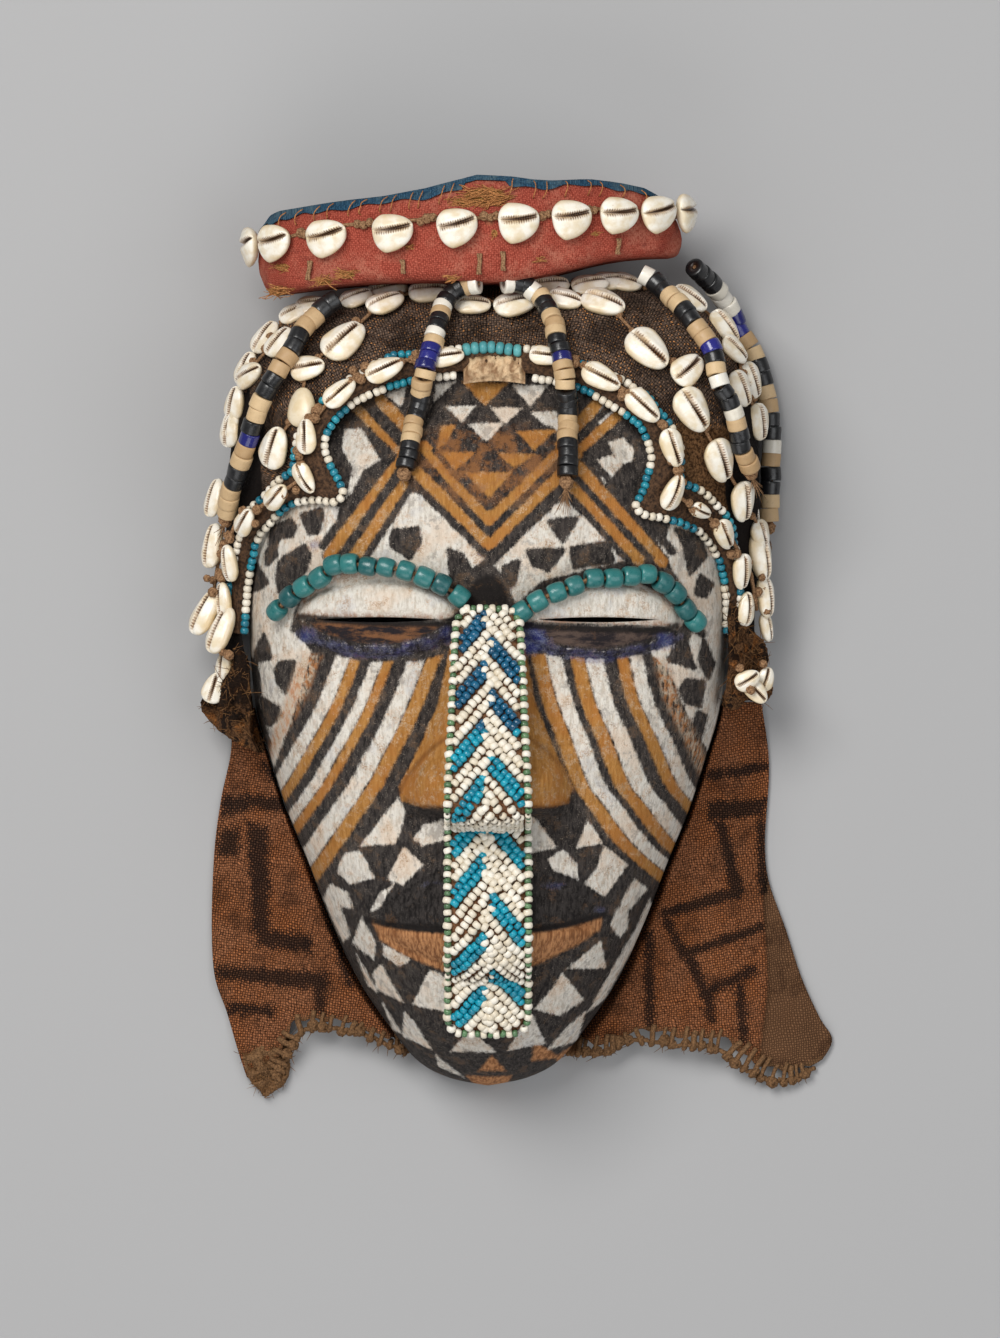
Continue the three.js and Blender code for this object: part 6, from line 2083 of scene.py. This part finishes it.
# Pads of felt at the hood's lower corners, and the frayed tip of the left flap, in photo pixels
FELT_PADS = {
    "left": [(232, 648), (246, 656), (250, 690), (254, 722), (262, 752), (246, 748), (228, 738), (208, 722), (199, 706),
             (206, 690), (222, 680), (232, 664)],
    "right": [(730, 600), (742, 612), (750, 628), (764, 640), (770, 658), (766, 676), (774, 690), (764, 704),
              (748, 700), (738, 709), (724, 706), (728, 680), (729, 640), (728, 616)],
    "tail": [(238, 1056), (243, 1074), (250, 1088), (256, 1093), (262, 1101), (272, 1096), (283, 1087), (288, 1070),
             (284, 1056), (290, 1040), (270, 1044), (252, 1046)],
}
# The least height of each pad, in millimetres
PAD_LEVEL = {"left": 20, "right": 30, "tail": 2}


def felt_pad(form, side):
    """A lumpy pad of felt, or the left flap's frayed tip."""
    edge = spline(plan(FELT_PADS[side]), 8)
    centre = edge.mean(axis=0)
    rings, lows = [], []
    for s in np.linspace(1, 0.02, 16):
        ring = centre + (edge - centre) * s
        x, y = ring.T
        base = np.maximum(highest(form.top, 2)(x, y) * (side != "tail"), PAD_LEVEL[side])
        lump = 1.0 * np.sin(x * 0.7 + 2 * np.sin(y * 0.4)) + 0.8 * np.sin(y * 0.9 - x * 0.3)
        lump = lump + rng.normal(0, 0.18, len(x))
        high = np.clip(base + 1.2 + 1.6 * math.sqrt(1 - s * s) + lump * (1 - s**6), 1.4, None)
        rings.append(np.column_stack([ring + rng.normal(0, 0.22, ring.shape), high]))
        lows.append(np.column_stack([ring, np.maximum(high - 2.6, 0.2)]))
    rings = lows[::-1] + rings
    verts = np.vstack([*rings, [rings[0].mean(axis=0)], [rings[-1].mean(axis=0)]])
    n, k = len(edge), len(rings)
    faces = [grid_faces(k, n, closed=True), fans(k, n, k * n, k * n + 1)]
    place(f"felt_{side}", verts, faces, material("hem_cord" if side == "tail" else "felt"))


def loose_fibres(form):
    """Short fuzz on the felt, frayed thread on the right flap's seam and at the left flap's tip."""
    parts = []
    for side in FELT_PADS:
        felt_pad(form, side)
        edge = plan(FELT_PADS[side])
        centre = edge.mean(axis=0)
        for _ in range(260):
            at = centre + (edge[rng.integers(len(edge))] - centre) * math.sqrt(rng.random()) * rng.uniform(0.9, 1.04)
            z = max(float(highest(form.top, 2)(at[:1], at[1:])[0]) * (side != "tail"), PAD_LEVEL[side]) + 1.8
            way = rng.normal(0, 1, 3) * [1, 1, 0.4]
            parts += frayed(np.array([*at, max(2, z)]), way, 1, rng.uniform(2, 4.5), 0.8, 0.17)
    for v in np.arange(943, 1034, 2.2):
        at = np.array([*plan([(rng.uniform(766, 774), v)])[0], 3.4])
        parts += frayed(at, rng.normal(0, 1, 3) * [1, 1, 0.2], 2, rng.uniform(2, 4), 0.6, 0.2)
    place("fuzz", *joined(parts), material("fuzz"))


# Stage

SENSOR_MM = 36
# Half the floor's side and how far it lies under the mask, in metres
FLOOR_HALF, FLOOR_GAP = 4, 0.0004
# The middle of the photo
PHOTO_MIDDLE = (500, 669)
# Lights: name, place and size in metres, colour
LIGHTS = [("key", (-0.72, 0.86, 1.95), 1.1, (1, 0.985, 0.96)), ("fill", (1.15, -0.2, 1.9), 1.6, (0.96, 0.98, 1)),
          ("low", (-0.4, -1.6, 1.3), 1.4, (1, 1, 1))]


def stage():
    """The camera straight above the mask, the floor, three lights and a dim white room."""
    s = sizes("mask_stage")
    centre = plan([PHOTO_MIDDLE])[0]
    look_at = (np.array([*centre, 0]) + shift()) / 1000
    camera = bpy.data.cameras.new("camera")
    obj = add("camera", camera)
    obj.location = (look_at[0], look_at[1], (s.middle + s.distance) / 1000)
    camera.sensor_fit = "AUTO"
    camera.sensor_width = SENSOR_MM
    camera.lens = SENSOR_MM * s.distance / s.view_height
    camera.clip_end = 20
    bpy.context.scene.camera = obj
    floor = bpy.data.meshes.new("floor")
    half = FLOOR_HALF
    floor.from_pydata([(-half, -half, 0), (half, -half, 0), (half, half, 0), (-half, half, 0)], [], [(0, 1, 2, 3)])
    ground = add("floor", floor)
    ground.location.z = -FLOOR_GAP
    floor.materials.append(Look("floor", rgb(171, 171, 172), 0.95, Specular_IOR_Level=0.1).material)
    for (name, at, size, tone), power in zip(LIGHTS, (s.key, s.fill, s.fill * 0.8)):
        data = bpy.data.lights.new(name, "AREA")
        data.size, data.energy, data.color = size, power, tone
        light = add(name, data)
        light.location = at
        light.rotation_mode = "QUATERNION"
        light.rotation_quaternion = (Vector((0, 0, 0.05)) - Vector(at)).to_track_quat("-Z", "Y")
    world = bpy.data.worlds.new("studio")
    world.use_nodes = True
    color, strength = world.node_tree.nodes["Background"].inputs[:2]
    color.default_value, strength.default_value = (1, 1, 1, 1), 0.2
    bpy.context.scene.world = world
    bpy.context.scene.view_settings.view_transform = "Standard"


# Operators

class MASK_OT_stage(bpy.types.Operator):
    """Put up the camera, the floor and the lights"""

    bl_idname = "mask.stage_up"
    bl_label = "Stage"

    def execute(self, context):
        stage()
        return {"FINISHED"}


class MASK_OT_face(bpy.types.Operator):
    """Carve and paint the wooden face"""

    bl_idname = "mask.carve_face"
    bl_label = "Carved face"

    def execute(self, context):
        carved_face(Form())
        return {"FINISHED"}


class MASK_OT_hood(bpy.types.Operator):
    """Stretch the hood over the back of the face"""

    bl_idname = "mask.sew_hood"
    bl_label = "Hood"

    def execute(self, context):
        hood(Form())
        return {"FINISHED"}


class MASK_OT_strands(bpy.types.Operator):
    """Hang the five strands of disc beads"""

    bl_idname = "mask.hang_strands"
    bl_label = "Bead strands"

    def execute(self, context):
        strands(Form())
        return {"FINISHED"}


class MASK_OT_cap(bpy.types.Operator):
    """Stuff the cap, cover its end and stitch the cover on"""

    bl_idname = "mask.stuff_cap"
    bl_label = "Cap"

    def execute(self, context):
        form = Form()
        cap_band(form)
        cap_cover(form)
        cap_stitches(form)
        strands_of_straw(form)
        return {"FINISHED"}


class MASK_OT_border(bpy.types.Operator):
    """Lay the border along the hairline: its strip, leather piece and rows of seed beads"""

    bl_idname = "mask.sew_border"
    bl_label = "Hairline border"

    def execute(self, context):
        form = Form()
        border_strip(form)
        leather_piece(form)
        seed_rows(form)
        return {"FINISHED"}


class MASK_OT_shells(bpy.types.Operator):
    """Sew on the cowries with knotted cord"""

    bl_idname = "mask.sew_shells"
    bl_label = "Cowries"

    def execute(self, context):
        form = Form()
        cords_and_knots(form, *all_cowries(form))
        return {"FINISHED"}


class MASK_OT_face_beads(bpy.types.Operator):
    """String the brow beads and the beaded band down the nose"""

    bl_idname = "mask.string_face_beads"
    bl_label = "Brow beads and nose band"

    def execute(self, context):
        form = Form()
        brow_beads(form)
        nose_band(form)
        return {"FINISHED"}


class MASK_OT_flaps(bpy.types.Operator):
    """Hang the cloth flaps on the lower edges of the wood"""

    bl_idname = "mask.hang_flaps"
    bl_label = "Cloth flaps"

    def execute(self, context):
        form = Form()
        for side in SIDES:
            flap(form, side)
        loose_fibres(form)
        return {"FINISHED"}


class MASK_PT_panel(bpy.types.Panel):
    """Settings of the mask and a button for each of its pieces"""

    bl_idname = "MASK_PT_panel"
    bl_label = "Cowrie Shell Mask"
    bl_space_type = "VIEW_3D"
    bl_region_type = "UI"
    bl_category = "Mask"

    def draw(self, context):
        for name, _ in GROUPS:
            box = self.layout.box()
            group = getattr(context.scene, name)
            for key in type(group).__annotations__:
                box.prop(group, key)
        for operator in STEPS:
            self.layout.operator(operator.bl_idname)


GROUPS = [
    ("mask_face", MaskFaceSettings), ("mask_hood", MaskHoodSettings), ("mask_cap", MaskCapSettings),
    ("mask_beads", MaskBeadSettings), ("mask_stage", MaskStageSettings),
]
STEPS = [MASK_OT_stage, MASK_OT_strands, MASK_OT_face, MASK_OT_hood, MASK_OT_cap, MASK_OT_border, MASK_OT_shells,
         MASK_OT_face_beads, MASK_OT_flaps]


def register():
    for _, group in GROUPS:
        bpy.utils.register_class(group)
    for step in STEPS:
        bpy.utils.register_class(step)
    bpy.utils.register_class(MASK_PT_panel)
    for name, group in GROUPS:
        setattr(bpy.types.Scene, name, bpy.props.PointerProperty(type=group))


def unregister():
    for name, _ in GROUPS:
        delattr(bpy.types.Scene, name)
    bpy.utils.unregister_class(MASK_PT_panel)
    for step in reversed(STEPS):
        bpy.utils.unregister_class(step)
    for _, group in reversed(GROUPS):
        bpy.utils.unregister_class(group)


def main():
    register()
    for step in STEPS:
        space, action = step.bl_idname.split(".")
        getattr(getattr(bpy.ops, space), action)()


if __name__ == "__main__":
    main()
